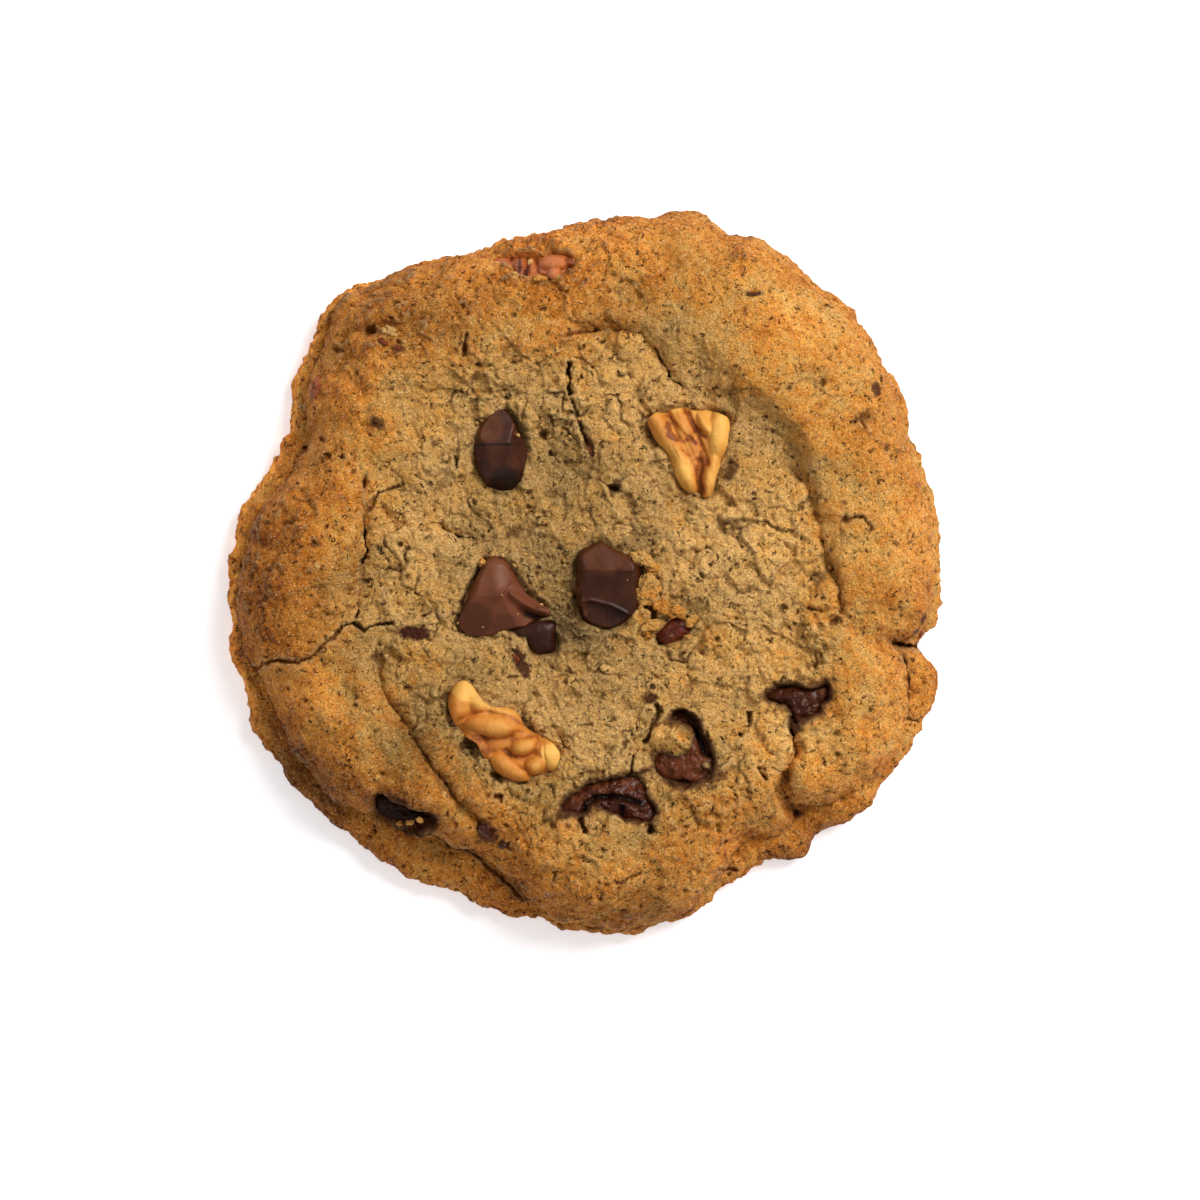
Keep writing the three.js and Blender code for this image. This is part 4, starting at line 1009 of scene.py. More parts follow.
def dough_pieces(material):
    """The dough as two closed pieces, because its middle is meshed more finely: the rim with the whole
    underside, and the middle as a plug in it."""
    rings, border, top_count = dough_rings()
    zero = np.zeros(1)
    points = np.concatenate([[[0, 0, form_height(zero, zero)[0]]], *rings, [[0, 0, 0]]])
    faces = ring_faces([len(ring) for ring in rings])
    normals = normals_of(points, faces)
    edge_fade = smoothstep(0.0, 2.0, points[:, 2])  # the relief dies out towards the base
    x, y = points[:, 0], points[:, 1]
    inside, bearing = from_edge(x, y)
    on_top = np.arange(len(points)) < top_count
    middle = crumbliness(x, y)
    warped = points + 0.5 * np.stack([wave(points, 2.2, seed) for seed in (11, 12, 13)], axis=-1)
    warped += 0.16 * np.stack([wave(points, 0.8, seed) for seed in (16, 17, 18)], axis=-1)

    # relief, and what lies lower than it
    broad = layered(points, 6.0, 35, 2)
    tear = tears(points, warped, middle)
    pore = pores(points, warped)
    crack, crack_dark = crack_depth(x, y)
    torn, apart, island = opening(x, y)
    under_topping = smoothstep(0.0, -0.8, apart) * (1 - island)
    gap = np.exp(-(np.maximum(apart, 0) / 0.6) ** 2) * smoothstep(-0.4, 0.3, wave(points, 3.2, 67))
    rise = crumb_rise(points, warped, middle, broad)
    rise += 0.22 * smoothstep(3.0, 0.5, inside) * layered(points, 1.2, 69, 2)  # a crinkled edge
    rise -= TEAR_DEPTH * tear + PORE_DEPTH * pore + GAP_DEPTH * gap
    rise = rise * (1 - 0.8 * under_topping) + 0.1 * island
    drop = crack + OPENING_DEPTH * torn + TOPPING_BED * under_topping * (1 - torn)
    points = points + normals * (rise * edge_fade)[:, None]
    points[:, 2] -= drop * edge_fade * on_top
    points[:, 2] -= FLATTENED_BY * np.maximum(points[:, 2] - FLATTENED_FROM, 0)
    points[:, 2] = np.maximum(points[:, 2], 0)

    # masks, among them painted shade in the hollows and painted highlight on raised grains, from how far a
    # point lies below the dough round it, finely and broadly
    height = rise - drop
    hollow_fine = spread(height, faces, 4) - height
    hollow_broad = spread(height, faces, 16) - height
    steep = smoothstep(0.75, 0.2, np.clip(normals[:, 2], 0, 1))
    browning, light = crust_colour(x, y, inside, bearing, middle, broad, points, steep)
    browning += 0.6 * np.clip(-hollow_broad, 0, 0.4) * (1 - middle)  # high spots bake browner
    browning = np.where(points[:, 2] < BASE_ZONE, 0.78, browning)
    # painted shade in cracks, crevices, pores, torn openings, gaps round the toppings and hollows of the
    # crumb
    hollow_shade = np.maximum.reduce([0.95 * crack_dark, 0.75 * tear, 0.95 * pore, 0.75 * torn, 0.8 * gap])
    hollow_shade = np.maximum(hollow_shade, 0.85 * smoothstep(0.08, 0.30, hollow_fine))
    hollow_shade = np.maximum(hollow_shade, 0.45 * smoothstep(0.12, 0.55, hollow_broad))
    # painted highlight on the grains that stand above the dough round them
    peak_highlight = smoothstep(0.03, 0.20, -hollow_fine)
    masks = {"browning": browning, "hollow_shade": hollow_shade, "peak_highlight": peak_highlight, "stain": stained(x, y), "light": light}

    # The rim's piece is a dish and the middle's is a plug in it; they share the border ring's points.
    border_start = 1 + sum(len(ring) for ring in rings[:border])
    border_end = border_start + len(rings[border])
    in_plug = (faces < border_end).all(axis=1)
    for name, own, low in (("dough_middle", in_plug, PLUG_DEPTH + 0.05), ("dough_rim", ~in_plug, PLUG_DEPTH)):
        used = np.unique(faces[own])
        own_faces = np.searchsorted(used, faces[own])
        edge = np.searchsorted(used, np.arange(border_start, border_end))
        ahead = np.roll(edge, -1)
        count = len(edge)
        wall = points[border_start:border_end] * [1, 1, 0] + [0, 0, low]
        down = len(used) + np.arange(count)
        down_ahead = np.roll(down, -1)
        centre = np.full(count, len(used) + count)
        closing = np.concatenate([np.stack(corners, axis=-1) for corners in (
            (edge, down, ahead), (ahead, down, down_ahead), (down, centre, down_ahead))])
        if name == "dough_rim":
            closing = closing[:, ::-1]
        own_points = np.concatenate([points[used], wall, [[0, 0, low]]])
        is_edge = np.zeros(len(own_points), bool)
        is_edge[edge] = True
        own_masks = {mask: np.concatenate([values[used], np.zeros(count + 1)])
                     for mask, values in masks.items()}
        all_faces = np.concatenate([own_faces, closing])
        piece = make_piece(name, own_points, all_faces, material, own_masks, is_edge)
        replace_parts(piece, "dough")


# Toppings

def pebble(name, material, relief, masks, uneven=0.1, margin=0):
    """A topping over its outline. relief(x, y, share) is its height above the waist at points from its
    middle, where share is how far out they are; masks(x, y, share) gives its material's masks. uneven is how
    much it departs from its smooth form."""
    topping = TOPPINGS[name]
    outline = smooth_outline(name, margin)
    height, slope_x, slope_y = SEATS[name]
    waist = height + topping["stands"] - topping["rise"]
    reach = np.hypot(*outline.T).mean()
    top_shares = np.sin(np.linspace(0, math.pi / 2, max(8, round(1.5 * reach / TOPPING_STEP)) + 1))[1:]
    low_shares = np.cos(np.linspace(0, math.pi / 2, 9))[1:-1]
    points, shares, counts = [np.zeros((1, 2))], [np.zeros(1)], []
    lows = []
    for n, share in enumerate([*top_shares, *low_shares]):
        count = max(8, round(len(outline) * max(share, 0.06)))
        at = np.arange(count) * len(outline) / count
        ring = np.stack([np.interp(at, np.arange(len(outline) + 1), np.append(outline[:, k], outline[0, k]))
                         for k in (0, 1)], axis=-1) * share
        points.append(ring)
        shares.append(np.full(count, share))
        lows.append(np.full(count, n >= len(top_shares)))
        counts.append(count)
    xy = np.concatenate([*points, [[0, 0]]])
    share = np.concatenate([*shares, [0]])
    low = np.concatenate([[False], *lows, [True]])
    x, y = xy.T
    above = relief(x, y, share)
    z = np.where(low, -topping["drop"] * np.sqrt(1 - share**4), above)
    points = np.stack([x, y, z], axis=-1)
    faces = ring_faces(counts)
    broad = 1.5 * wave(points, 3.0, 103 + len(name)) * share
    rough = uneven * (layered(points, 1.1, 101 + len(name)) + broad)
    points = points + normals_of(points, faces) * rough[:, None]
    values = masks(x, y, share)
    points = points + [topping["at"][0], topping["at"][1], waist]
    points[:, 2] += slope_x * x + slope_y * y
    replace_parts(make_piece(name + "_look", points, faces, material, values), name)


def dome(rise, share, power=3):
    """Height of a dome from its crown (share 0) to its rim (share 1), flatter on top for a higher power."""
    return rise * np.sqrt(np.clip(1 - share**power, 0, 1))


def cut(z, x, y, *facets, floor=0.2):
    """z cut by planes (x, y, height, slope towards +X, slope towards +Y)."""
    for fx, fy, fz, slope_x, slope_y in facets:
        plane = fz + slope_x * (x - fx) + slope_y * (y - fy)
        z = np.minimum(z, np.maximum(plane, floor * z))
    return z


def ridge(x, y, line, width, height):
    """A ridge along a line, which ends softly."""
    distance, along, _ = from_line(x, y, line)
    ends = smoothstep(0, 0.15, along + 0.03) * smoothstep(0, 0.15, 1.03 - along)
    return height * ends * np.exp(-(distance / width) ** 2)


def upper_chunk(x, y, share):
    z = dome(3.3, share, 6)
    z = cut(z, x, y, [0, 0.85, 3.25, 0.03, -0.36], [0, 0.85, 3.25, -0.06, 0.2], [1.6, -1.5, 2.75, -0.8, 0.1],
            [-2.7, -1.0, 2.75, 0.6, 0.1], [0.2, -3.9, 2.2, -0.15, 0.95], [1.8, 3.0, 2.45, -0.9, -0.1],
            [2.0, -3.6, 1.9, -0.7, 0.5])
    return z + ridge(x, y, [[-3.9, 0.75], [-0.5, 0.9], [1.0, 0.8], [2.8, 1.0]], 0.14, 0.10)


MIDDLE_BREAK = [[-4.9, -2.3], [-2.5, -1.9], [0.3, -2.6], [2.9, -3.9]]  # where the middle chunk steps down


def middle_chunk(x, y, share):
    z = dome(3.4, share, 7)
    z = cut(z, x, y, [0, 2.2, 3.3, -0.03, -0.30], [0, 2.2, 3.3, -0.04, 0.13], [-3.9, 0, 2.9, 1.1, 0.05],
            [3.6, -1.0, 2.9, -0.9, 0.0])
    distance, along, above = from_line(x, y, MIDDLE_BREAK)
    z = z - 0.75 * ~above * smoothstep(0.05, 0.35, distance) * smoothstep(0, 0.1, share)
    z = z + ridge(x, y, MIDDLE_BREAK, 0.22, 0.22)
    z = z - 0.18 * ~above * np.abs(wave(flat(x, 0.3 * y), 0.9, 113)) * smoothstep(0.3, 0.8, distance)
    return z + ridge(x, y, [[-4.2, 2.2], [-1.5, 2.35], [1.0, 2.15], [4.0, 2.3]], 0.14, 0.10)


def milk_peak(x, y, share):
    z = dome(3.6, share, 3.6)
    z = cut(z, x, y, [-1.5, 0.4, 3.1, 0.10, -0.16], [-1.5, 0.4, 3.1, 0.10, 0.40], [1.4, 1.6, 2.9, -0.55, 0.1],
            floor=0.12)
    z = z + ridge(x, y, [[-0.6, 5.2], [-0.5, 3.0], [-0.2, 1.2], [0.8, 0.6]], 1.1, 0.45)
    z = z + ridge(x, y, [[1.2, 1.2], [2.4, 0.2], [3.7, -0.7], [5.1, -1.4], [6.6, -1.7], [7.3, -2.3]],
                  0.6, 1.1)
    return z - ridge(x, y, [[2.6, -1.2], [3.9, -2.0], [5.5, -2.6], [6.4, -3.0]], 0.55, 0.8)


def rolls(x, y, base, table, sharpness=5):
    """The highest of base and rounded rolls [x, y, half length, half width, turn in degrees, height], with
    creases between them that are rounder where sharpness is low."""
    z = base
    for *oval, height in table:
        roll = height * np.clip(1 - np.hypot(*in_oval(x, y, *oval)) ** 2.4, 0, 1) ** 0.5
        z = np.logaddexp(sharpness * z, sharpness * roll) / sharpness
    return z


WALNUT_VEIN = [
    [-0.9, 5.7], [-0.5, 4.9], [-0.1, 3.9], [0.6, 2.4], [1.05, 1.4], [1.6, 0.0], [2.1, -1.4], [2.3, -2.2],
]
WALNUT_SLIT = [[1.0, -1.2], [1.3, -2.0], [1.1, -3.2], [1.2, -4.4], [1.45, -5.6], [1.5, -6.4]]
WALNUT_FOLD = [[-3.8, 4.6], [-3.05, 1.9], [-1.9, 0.2], [-0.3, -1.0], [0.6, -2.2], [0.8, -3.8], [0.9, -5.6]]
WALNUT_STREAKS = [
    [[-3.05, 5.1], [-2.7, 4.1], [-2.1, 3.1]], [[-2.4, 2.0], [-1.6, 1.1]],
    [[-0.7, 2.0], [0.0, 1.2], [0.6, 0.6]], [[0.6, 3.2], [1.2, 2.0], [2.2, 1.4]],
]


def walnut_upper_form(x, y, share):
    z = rolls(x, y, dome(2.5, share, 4), [
        [-3.3, 1.5, 5.6, 1.6, -56, 3.5], [-0.9, -3.2, 3.6, 1.5, -64, 3.2], [-1.2, 3.2, 3.4, 1.9, -62, 3.1],
        [3.7, 2.0, 4.0, 1.9, 84, 3.6], [1.8, 3.3, 2.2, 1.0, -62, 3.5], [2.6, -3.4, 4.0, 1.3, 77, 3.3]])
    z = z - ridge(x, y, WALNUT_VEIN, 0.32, 0.6) - ridge(x, y, WALNUT_SLIT, 0.4, 0.7)
    for line in WALNUT_STREAKS:
        z = z - ridge(x, y, line, 0.2, 0.25)
    wrinkles = wave(flat(x + 0.45 * y, 0.35 * y), 0.8, 115)  # fine, along the nut
    middle = smoothstep(2.4, 0.8, np.abs(x + 0.9 + 0.12 * y)) * smoothstep(-2.6, 0.4, y)
    fibres = wave(flat(x + 0.45 * y, 0.3 * y), 0.5, 127)
    return z + (0.3 * wrinkles + 0.14 * fibres) * middle


LOWER_GROOVES = [
    [[-7.2, 0.9], [-6.2, 1.4], [-5.0, 1.8], [-3.9, 2.4], [-2.5, 2.6], [-0.5, 2.1], [0.9, 1.9], [2.2, 0.9]],
    [[-5.4, -0.2], [-4.2, -0.9], [-2.5, -1.2], [-0.7, -1.2], [0.8, -0.9], [1.6, -0.2], [2.6, -0.2]],
    [[1.25, -1.4], [2.9, -1.1], [4.6, -0.7], [4.9, -1.5], [4.4, -2.8], [2.9, -3.7], [1.2, -3.5], [0.4, -2.7]],
    [[-2.6, -3.0], [-0.9, -2.9], [0.2, -2.9], [1.0, -3.9], [2.2, -4.9], [3.5, -5.8], [3.6, -6.6]],
]


def walnut_lower_form(x, y, share):
    z = rolls(x, y, dome(2.2, share, 3), [
        [-6.0, 3.8, 3.6, 1.9, 74, 3.5], [-4.0, 4.2, 3.2, 1.7, -48, 3.2], [-1.5, 0.5, 4.5, 1.9, -8, 3.9],
        [0.0, 2.0, 3.4, 1.5, -24, 2.9], [2.9, -2.3, 2.5, 1.6, 12, 3.8], [6.3, -3.4, 2.6, 2.1, -52, 3.3],
        [0.8, -5.1, 3.6, 1.7, -32, 3.4], [4.4, -4.8, 2.1, 1.5, 24, 3.4], [-3.5, -1.9, 3.2, 1.5, -50, 2.9]])
    for line in LOWER_GROOVES:
        z = z - ridge(x, y, line, 0.3, 0.22)
    z = z - ridge(x, y, [[5.5, -1.4], [5.5, -2.8], [5.8, -4.2], [5.9, -5.6]], 0.16, 0.2)
    return z + 0.12 * wave(flat(0.5 * x, y), 1.0, 119)


PECAN_GROOVES = [
    [[-2.9, 1.8], [-2.9, 0.4], [-2.7, -1.0]], [[-0.8, 1.9], [-0.7, 0.2], [-1.0, -1.7]],
    [[0.5, 1.9], [0.6, 0.2], [0.9, -1.4]], [[-1.8, 1.6], [-1.8, -1.6]], [[4.6, 1.6], [4.6, -0.2]],
]


def pecan_form(x, y, share):
    z = rolls(x, y, dome(2.5, share, 5), [
        [-4.2, 0.8, 2.3, 1.1, -8, 3.1], [-1.8, -0.3, 2.4, 1.2, 88, 3.7], [-0.1, 0.3, 1.9, 0.8, 90, 3.0],
        [3.0, 0.7, 2.8, 1.5, 5, 3.8], [2.9, -0.8, 1.6, 1.2, 75, 3.5], [5.3, 0.8, 1.2, 0.9, 0, 3.1]], 9)
    for line in PECAN_GROOVES:
        z = z - ridge(x, y, line, 0.2, 0.35)
    return z + 0.08 * wave(flat(x, 0.3 * y), 0.7, 123)


def melted_form(rise, seed, lines=()):
    """A set puddle with a torn surface, and deep gaps along lines [[x, y], ...]."""
    def form(x, y, share):
        p = flat(x, y)
        z = dome(rise, share, 2.5) + 0.9 * (puffed(p, 2.4, seed, 4, 0.6) - 0.4) * (1 - share**6)
        for line in lines:
            z = z - ridge(x, y, line, 0.4, 1.1)
        return z
    return form


# Gaps in the melted pieces under the torn dough, cut in as grooves and painted dark as their shade
BOTTOM_GAPS = [
    [[-4.0, -3.2], [-3.2, -1.1], [-1.5, -0.1], [1.4, -0.2], [4.6, -1.0]], [[1.6, -3.0], [1.9, -1.2]],
]
RING_GAPS = [[[1.0, 5.0], [1.9, 2.5], [2.6, 0.4], [3.7, -0.2]], [[-0.6, -3.6], [1.2, -4.2]]]


def nut_masks(base, lines=(), patches=(), fibres=0.0):
    """Skin base, and more of it along lines (line, width, skin, groove) and in patches [x, y, radius, skin],
    less where that is below 0. fibres is how strongly fine streaks show along the nut."""
    def masks(x, y, share):
        skin = base + fibres * wave(flat(x + 0.45 * y, 0.25 * y), 0.55, 125)
        groove = 0 * x
        wander = 0.25 * wave(flat(x, y), 0.8, 117)
        ragged = 0.25 * wave(flat(x, y), 1.2, 121)
        for line, width, more, dark in lines:
            distance = from_line(x, y, line)[0] + wander
            skin = skin + more * np.exp(-(distance / width) ** 2)
            groove = np.maximum(groove, dark * np.exp(-(distance / (0.3 * width)) ** 2))
        for cx, cy, radius, more in patches:
            skin = skin + more * smoothstep(1.2, 0.85, np.hypot(x - cx, y - cy) / radius + ragged)
        return {"skin": np.clip(skin, 0, 1), "groove": groove}
    return masks


def chocolate_masks(worn_spots=(), deep=0.0, deep_lines=(), shading_and_tone=(), line_width=0.55):
    """Worn places [x, y, radius], how dark it is all over, painted shade in gaps and creases along lines, and
    shading and tone [x, y, radius, lift]: painted light where lift is above 0 and painted shade where it is
    below; over a whole piece, as on melted_ring, a lift is a lighter tone."""
    def masks(x, y, share):
        worn, dark, lift = 0 * x, deep + 0 * x, 0 * x
        for cx, cy, radius in worn_spots:
            worn = np.maximum(worn, bell(x, y, cx, cy, radius))
        for line in deep_lines:
            dark = np.maximum(dark, np.exp(-(from_line(x, y, line)[0] / line_width) ** 2))
        for cx, cy, radius, lighter in shading_and_tone:
            here = smoothstep(1.25, 0.75, np.hypot(x - cx, y - cy) / radius)
            lift = lift + here * max(lighter, 0)
            dark = np.maximum(dark, here * max(-lighter, 0))
        patchy = smoothstep(-0.15, 0.3, layered(flat(x, y), 0.9, 111))
        return {"worn": worn * patchy, "deep": dark, "lift": lift}
    return masks


# Crumbs

def icosphere(levels):
    """Points and triangles of a ball of radius 1: a body of 20 faces with its edges halved levels times."""
    t = (1 + 5**0.5) / 2
    points = [(-1, t, 0), (1, t, 0), (-1, -t, 0), (1, -t, 0), (0, -1, t), (0, 1, t), (0, -1, -t), (0, 1, -t),
              (t, 0, -1), (t, 0, 1), (-t, 0, -1), (-t, 0, 1)]
    faces = [(0, 11, 5), (0, 5, 1), (0, 1, 7), (0, 7, 10), (0, 10, 11),
             (1, 5, 9), (5, 11, 4), (11, 10, 2), (10, 7, 6), (7, 1, 8),
             (3, 9, 4), (3, 4, 2), (3, 2, 6), (3, 6, 8), (3, 8, 9),
             (4, 9, 5), (2, 4, 11), (6, 2, 10), (8, 6, 7), (9, 8, 1)]
    points = [np.array(p) / np.linalg.norm(p) for p in points]
    for _ in range(levels):
        halves, finer = {}, []

        def half(a, b):
            key = (min(a, b), max(a, b))
            if key not in halves:
                middle = points[a] + points[b]
                halves[key] = len(points)
                points.append(middle / np.linalg.norm(middle))
            return halves[key]

        for a, b, c in faces:
            ab, bc, ca = half(a, b), half(b, c), half(c, a)
            finer += [(a, ab, ca), (b, bc, ab), (c, ca, bc), (ab, bc, ca)]
        faces = finer
    return np.array(points), np.array(faces)


# Values of the masks that a crumb's material reads, alike over the whole crumb
CRUMB_MASKS = {"hollow_shade": 0, "stain": 0, "peak_highlight": 0}
NUT_MASKS = {"skin": 0, "groove": 0}
DROP_MASKS = {"worn": 0, "deep": 0.35, "lift": 0}


def bits(name, spots, levels, material, lumpy=0.3, browning=0.3, masks=CRUMB_MASKS, light=1):
    """Small lumps in one piece, at spots [x, y, lift above the dough, half length, half width, half height,
    turn in degrees]."""
    ball, ball_faces = icosphere(levels)
    all_points, all_faces, brown = [], [], []
    for n, (x, y, lift, length, width, height, turn) in enumerate(spots):
        shape = ball * (1 + lumpy * wave(ball + 10.0 * n, 0.9, 141))[:, None]
        angle = math.radians(turn)
        c, s = math.cos(angle), math.sin(angle)
        u, v, w = (shape * [length, width, height]).T
        shape = np.stack([c * u - s * v, s * u + c * v, w], axis=-1)
        own = lumpy * 0.45 * (puffed(shape + 10.0 * n, 0.9, 143, 2) - 0.4)
        shape = shape + ball * (own * min(1.0, length))[:, None]
        all_faces.append(ball_faces + n * len(ball))
        all_points.append(shape + [x, y, form_height(np.array([x]), np.array([y]))[0] + lift])
        brown.append(np.full(len(ball), browning + 0.25 * (float(lattice(n, 4, 7, 131)) - 0.5)))
    brown = np.concatenate(brown)
    values = {"browning": brown, "light": light + 0 * brown,
              **{mask: value + 0 * brown for mask, value in masks.items()}}
    return make_piece(name, np.concatenate(all_points), np.concatenate(all_faces), material, values)


CRUMBS_REACH = 41  # how far from the middle the scattered crumbs go


def scattered_crumbs(count, low, high, seed):
    """Places for small crumbs of half size low to high, most of them in the middle."""
    k = np.arange(count * 4)
    radius = CRUMBS_REACH * np.sqrt(lattice(k, 1, 0, seed))
    angle = 2 * math.pi * lattice(k, 2, 0, seed)
    x, y = radius * np.cos(angle), radius * np.sin(angle)
    clear = opening(x, y)[1] > 0.5
    wanted = lattice(k, 3, 0, seed) < 0.25 + 0.75 * crumbliness(x, y)
    patchy = layered(flat(x, y), 7, seed + 1) > -0.25
    keep = np.flatnonzero(clear & wanted & patchy)[:count]
    size = low + (high - low) * lattice(keep, 4, 0, seed) ** 2
    return [[x[k], y[k], 0.10 + 0.3 * r, r * (0.8 + 0.7 * lattice(k, 5, 0, seed)), r, 0.7 * r,
             360 * lattice(k, 6, 0, seed)] for k, r in zip(keep, size)]


# The pieces

dough_look = dough_material("baked_dough")
crumb_look = dough_material("loose_crumb")
dark_look = chocolate_material(
    "dark_chocolate", srgb(0.205, 0.082, 0.02), srgb(0.345, 0.172, 0.075), roughness=0.34, gloss_noise=3.0)
milk_look = chocolate_material(
    "milk_chocolate", srgb(0.42, 0.22, 0.13), srgb(0.47, 0.28, 0.18), roughness=0.42, gloss_noise=3.0)
melted_look = chocolate_material(
    "melted_chocolate", srgb(0.255, 0.10, 0.035), srgb(0.43, 0.215, 0.105), roughness=0.28, gloss_noise=1.5)
baked_look = chocolate_material(
    "baked_chocolate", srgb(0.11, 0.045, 0.025), srgb(0.22, 0.10, 0.05), roughness=0.5, gloss_noise=1.0,
    specular=0.04)
walnut_look = nut_material("walnut", srgb(0.94, 0.70, 0.33), srgb(0.79, 0.47, 0.16), srgb(0.54, 0.28, 0.10))
skin_look = nut_material(
    "nut_skin", srgb(0.77, 0.43, 0.20), srgb(0.61, 0.30, 0.12), srgb(0.29, 0.11, 0.05), roughness=0.40)
shiny_nut_look = nut_material(
    "shiny_nut", srgb(0.46, 0.18, 0.07), srgb(0.34, 0.10, 0.035), srgb(0.14, 0.03, 0.015), roughness=0.26)

dough_pieces(dough_look)

pebble("dark_chunk_upper", dark_look, upper_chunk, chocolate_masks(
    worn_spots=[[-1, 5.6, 0.9], [1.9, 2.6, 0.7]],
    # a painted shade line under the shelf of the break
    deep_lines=[[[-3.9, 0.5], [-0.5, 0.65], [1.6, 0.55]]],
    # painted light on the upper facet and painted shade on the lower ones
    shading_and_tone=[[-1.6, 3.0, 2.0, 0.7], [0.4, -4.6, 2.2, -0.8], [-2.6, -3.2, 1.6, -0.4], [1.6, -2.0, 1.0, 0.35]],
    line_width=0.16,
), uneven=0.035)
pebble("dark_chunk_middle", dark_look, middle_chunk, chocolate_masks(
    worn_spots=[[-4.4, -3, 1.4], [-4.6, 0, 0.9]],
    # painted light on the upper facets and painted shade on the lower one
    shading_and_tone=[[-0.6, 4.4, 2.6, 0.7], [2.4, 3.4, 1.2, 0.6], [-3.2, 3.4, 1.2, 0.5], [1.6, -4.4, 1.8, -0.3]],
), uneven=0.035)
pebble("milk_chip", milk_look, milk_peak, chocolate_masks(
    worn_spots=[[-3.8, 1.4, 0.7]],
    # a painted shadow under the curl
    deep_lines=[[[3.9, -2.1], [6.2, -3.1]]],
    # painted light on the upper left and painted shade on the lower left and bottom
    shading_and_tone=[[-0.8, 3.4, 2.2, 0.6], [-3.4, -3.0, 2.6, -0.45], [1.0, -4.0, 2.0, -0.3]],
), uneven=0.04)
pebble("melted_tail", melted_look, lambda x, y, share: dome(1.6, share, 2.5) + 0.12 * y,
       chocolate_masks(deep=0.6), uneven=0.06)
pebble("melted_bottom", melted_look, melted_form(1.7, 153, BOTTOM_GAPS), chocolate_masks(
    worn_spots=[[-1, 1.6, 1.6], [2.6, 2.0, 1.4], [-4, -0.4, 1.2]],
    deep_lines=BOTTOM_GAPS,
), uneven=0.15, margin=0.3)
pebble("melted_ring", melted_look, melted_form(1.7, 155, RING_GAPS), chocolate_masks(
    worn_spots=[[1.2, -2.4, 1.2], [3.2, -1.6, 1.4]],
    deep_lines=RING_GAPS,
    shading_and_tone=[[0, 0, 5, 0.6]],
), uneven=0.2, margin=0.3)
pebble("chunk_right", melted_look, melted_form(1.7, 157), chocolate_masks(
    worn_spots=[[3.4, 1.0, 0.8]],
    deep=0.15,
), uneven=0.15)
pebble("chunk_lower_left", baked_look, melted_form(1.7, 159), chocolate_masks(),
       uneven=0.35)
pebble("walnut_upper", walnut_look, walnut_upper_form, nut_masks(
    0.3,
    lines=[(WALNUT_VEIN, 0.55, 0.5, 0.85), (WALNUT_SLIT, 0.75, 0.7, 0.6), (WALNUT_FOLD, 0.5, 0.3, 0.0),
           *((line, 0.35, 0.35, 0.35) for line in WALNUT_STREAKS)],
    # the paler patch at (-1.3, -3.4) is pale flesh with a painted highlight
    patches=[[-1.4, 3.0, 2.2, 0.3], [-0.2, 0.4, 1.3, 0.3], [-1.3, -3.4, 1.1, -0.4], [1.7, 2.2, 0.7, 0.4],
             [3.9, 2.6, 1.9, -0.25], [-4.6, 3.2, 2.0, 0.25], [2.4, -4.2, 1.0, -0.2]],
    fibres=0.25,
), uneven=0.06)
pebble("walnut_lower", walnut_look, walnut_lower_form, nut_masks(
    0.68,
    lines=[*((line, 0.5, 0.22, 0.4) for line in LOWER_GROOVES),
           ([[-4.5, 5.2], [-4.2, 4.0], [-2.0, 3.2]], 1.1, -0.5, 0.0),
           ([[-0.8, 2.6], [1.4, 2.3]], 0.5, -0.3, 0.0)],
    # the paler patches at (-0.9, 0.2) and (4.6, -5.2) are painted highlights
    patches=[[-5.5, 5.6, 1.5, -0.65], [-0.9, 0.2, 1.4, -0.2], [7.5, -3.4, 2.0, -1.0], [-3.3, -2.6, 1.8, 0.2],
             [-7.4, 3.0, 1.0, 0.15], [2.8, -2.3, 1.3, -0.2], [4.6, -5.2, 0.6, -0.4], [0.9, -5.0, 1.2, -0.1]],
), uneven=0.05)
pebble("pecan", skin_look, pecan_form, nut_masks(
    0.45,
    lines=[(line, 0.3, 0.35, 0.8) for line in PECAN_GROOVES],
    # the paler patch at (3.0, 0.7) is partly a painted highlight on the right lobe
    patches=[[-4.4, 0.8, 1.6, 0.2], [-1.8, -0.3, 1.2, 0.3], [3.0, 0.7, 1.6, -0.2], [5.5, 0.8, 0.8, 0.4]],
    fibres=0.2,
), uneven=0.08)
pebble("nut_piece", shiny_nut_look, melted_form(2.3, 161), nut_masks(
    0.5,
    lines=[([[-1.4, -1.2], [0.6, 0.2], [2.2, 1.2]], 0.8, 0.3, 0.3)],
), uneven=0.25)

bits("golden_crumbs", [
    [8.2, 1.6, 1.1, 1.7, 0.9, 0.7, -35], [9.6, 0.4, 0.8, 1.0, 0.7, 0.5, 20],
    [8.7, -1.6, 1.1, 1.4, 1.0, 0.7, 70], [8.4, -3.2, 1.0, 1.5, 1.1, 0.7, -30],
    [9.8, -2.6, 0.8, 0.8, 0.7, 0.5, 0], [11.1, -5.0, 1.2, 1.4, 0.8, 0.6, 20],
    [12.8, -5.6, 1.3, 1.2, 0.9, 0.6, -20], [9.3, -7.6, 0.9, 1.4, 0.8, 0.6, 15],
    [8.7, -8.7, 0.6, 1.0, 0.7, 0.5, -10], [14.9, -6.9, 0.8, 1.0, 0.7, 0.5, 60],
    [-25.8, -35.1, 0.5, 0.4, 0.3, 0.3, 0], [-24.2, -34.9, 0.7, 0.55, 0.35, 0.3, 20],
    [-22.9, -34.5, 0.6, 0.45, 0.3, 0.3, -20], [-6.2, 40.5, 0.9, 0.9, 0.5, 0.5, 0],
    [-9.6, 40.9, 0.8, 0.8, 0.5, 0.5, -20], [-4.0, 40.8, 0.8, 0.6, 0.4, 0.4, 30],
    [-14.0, 1.2, 0.3, 0.8, 0.5, 0.4, 0], [14.6, -9.4, 0.5, 0.9, 0.6, 0.5, 10],
], 4, crumb_look, lumpy=0.6, browning=0.4)
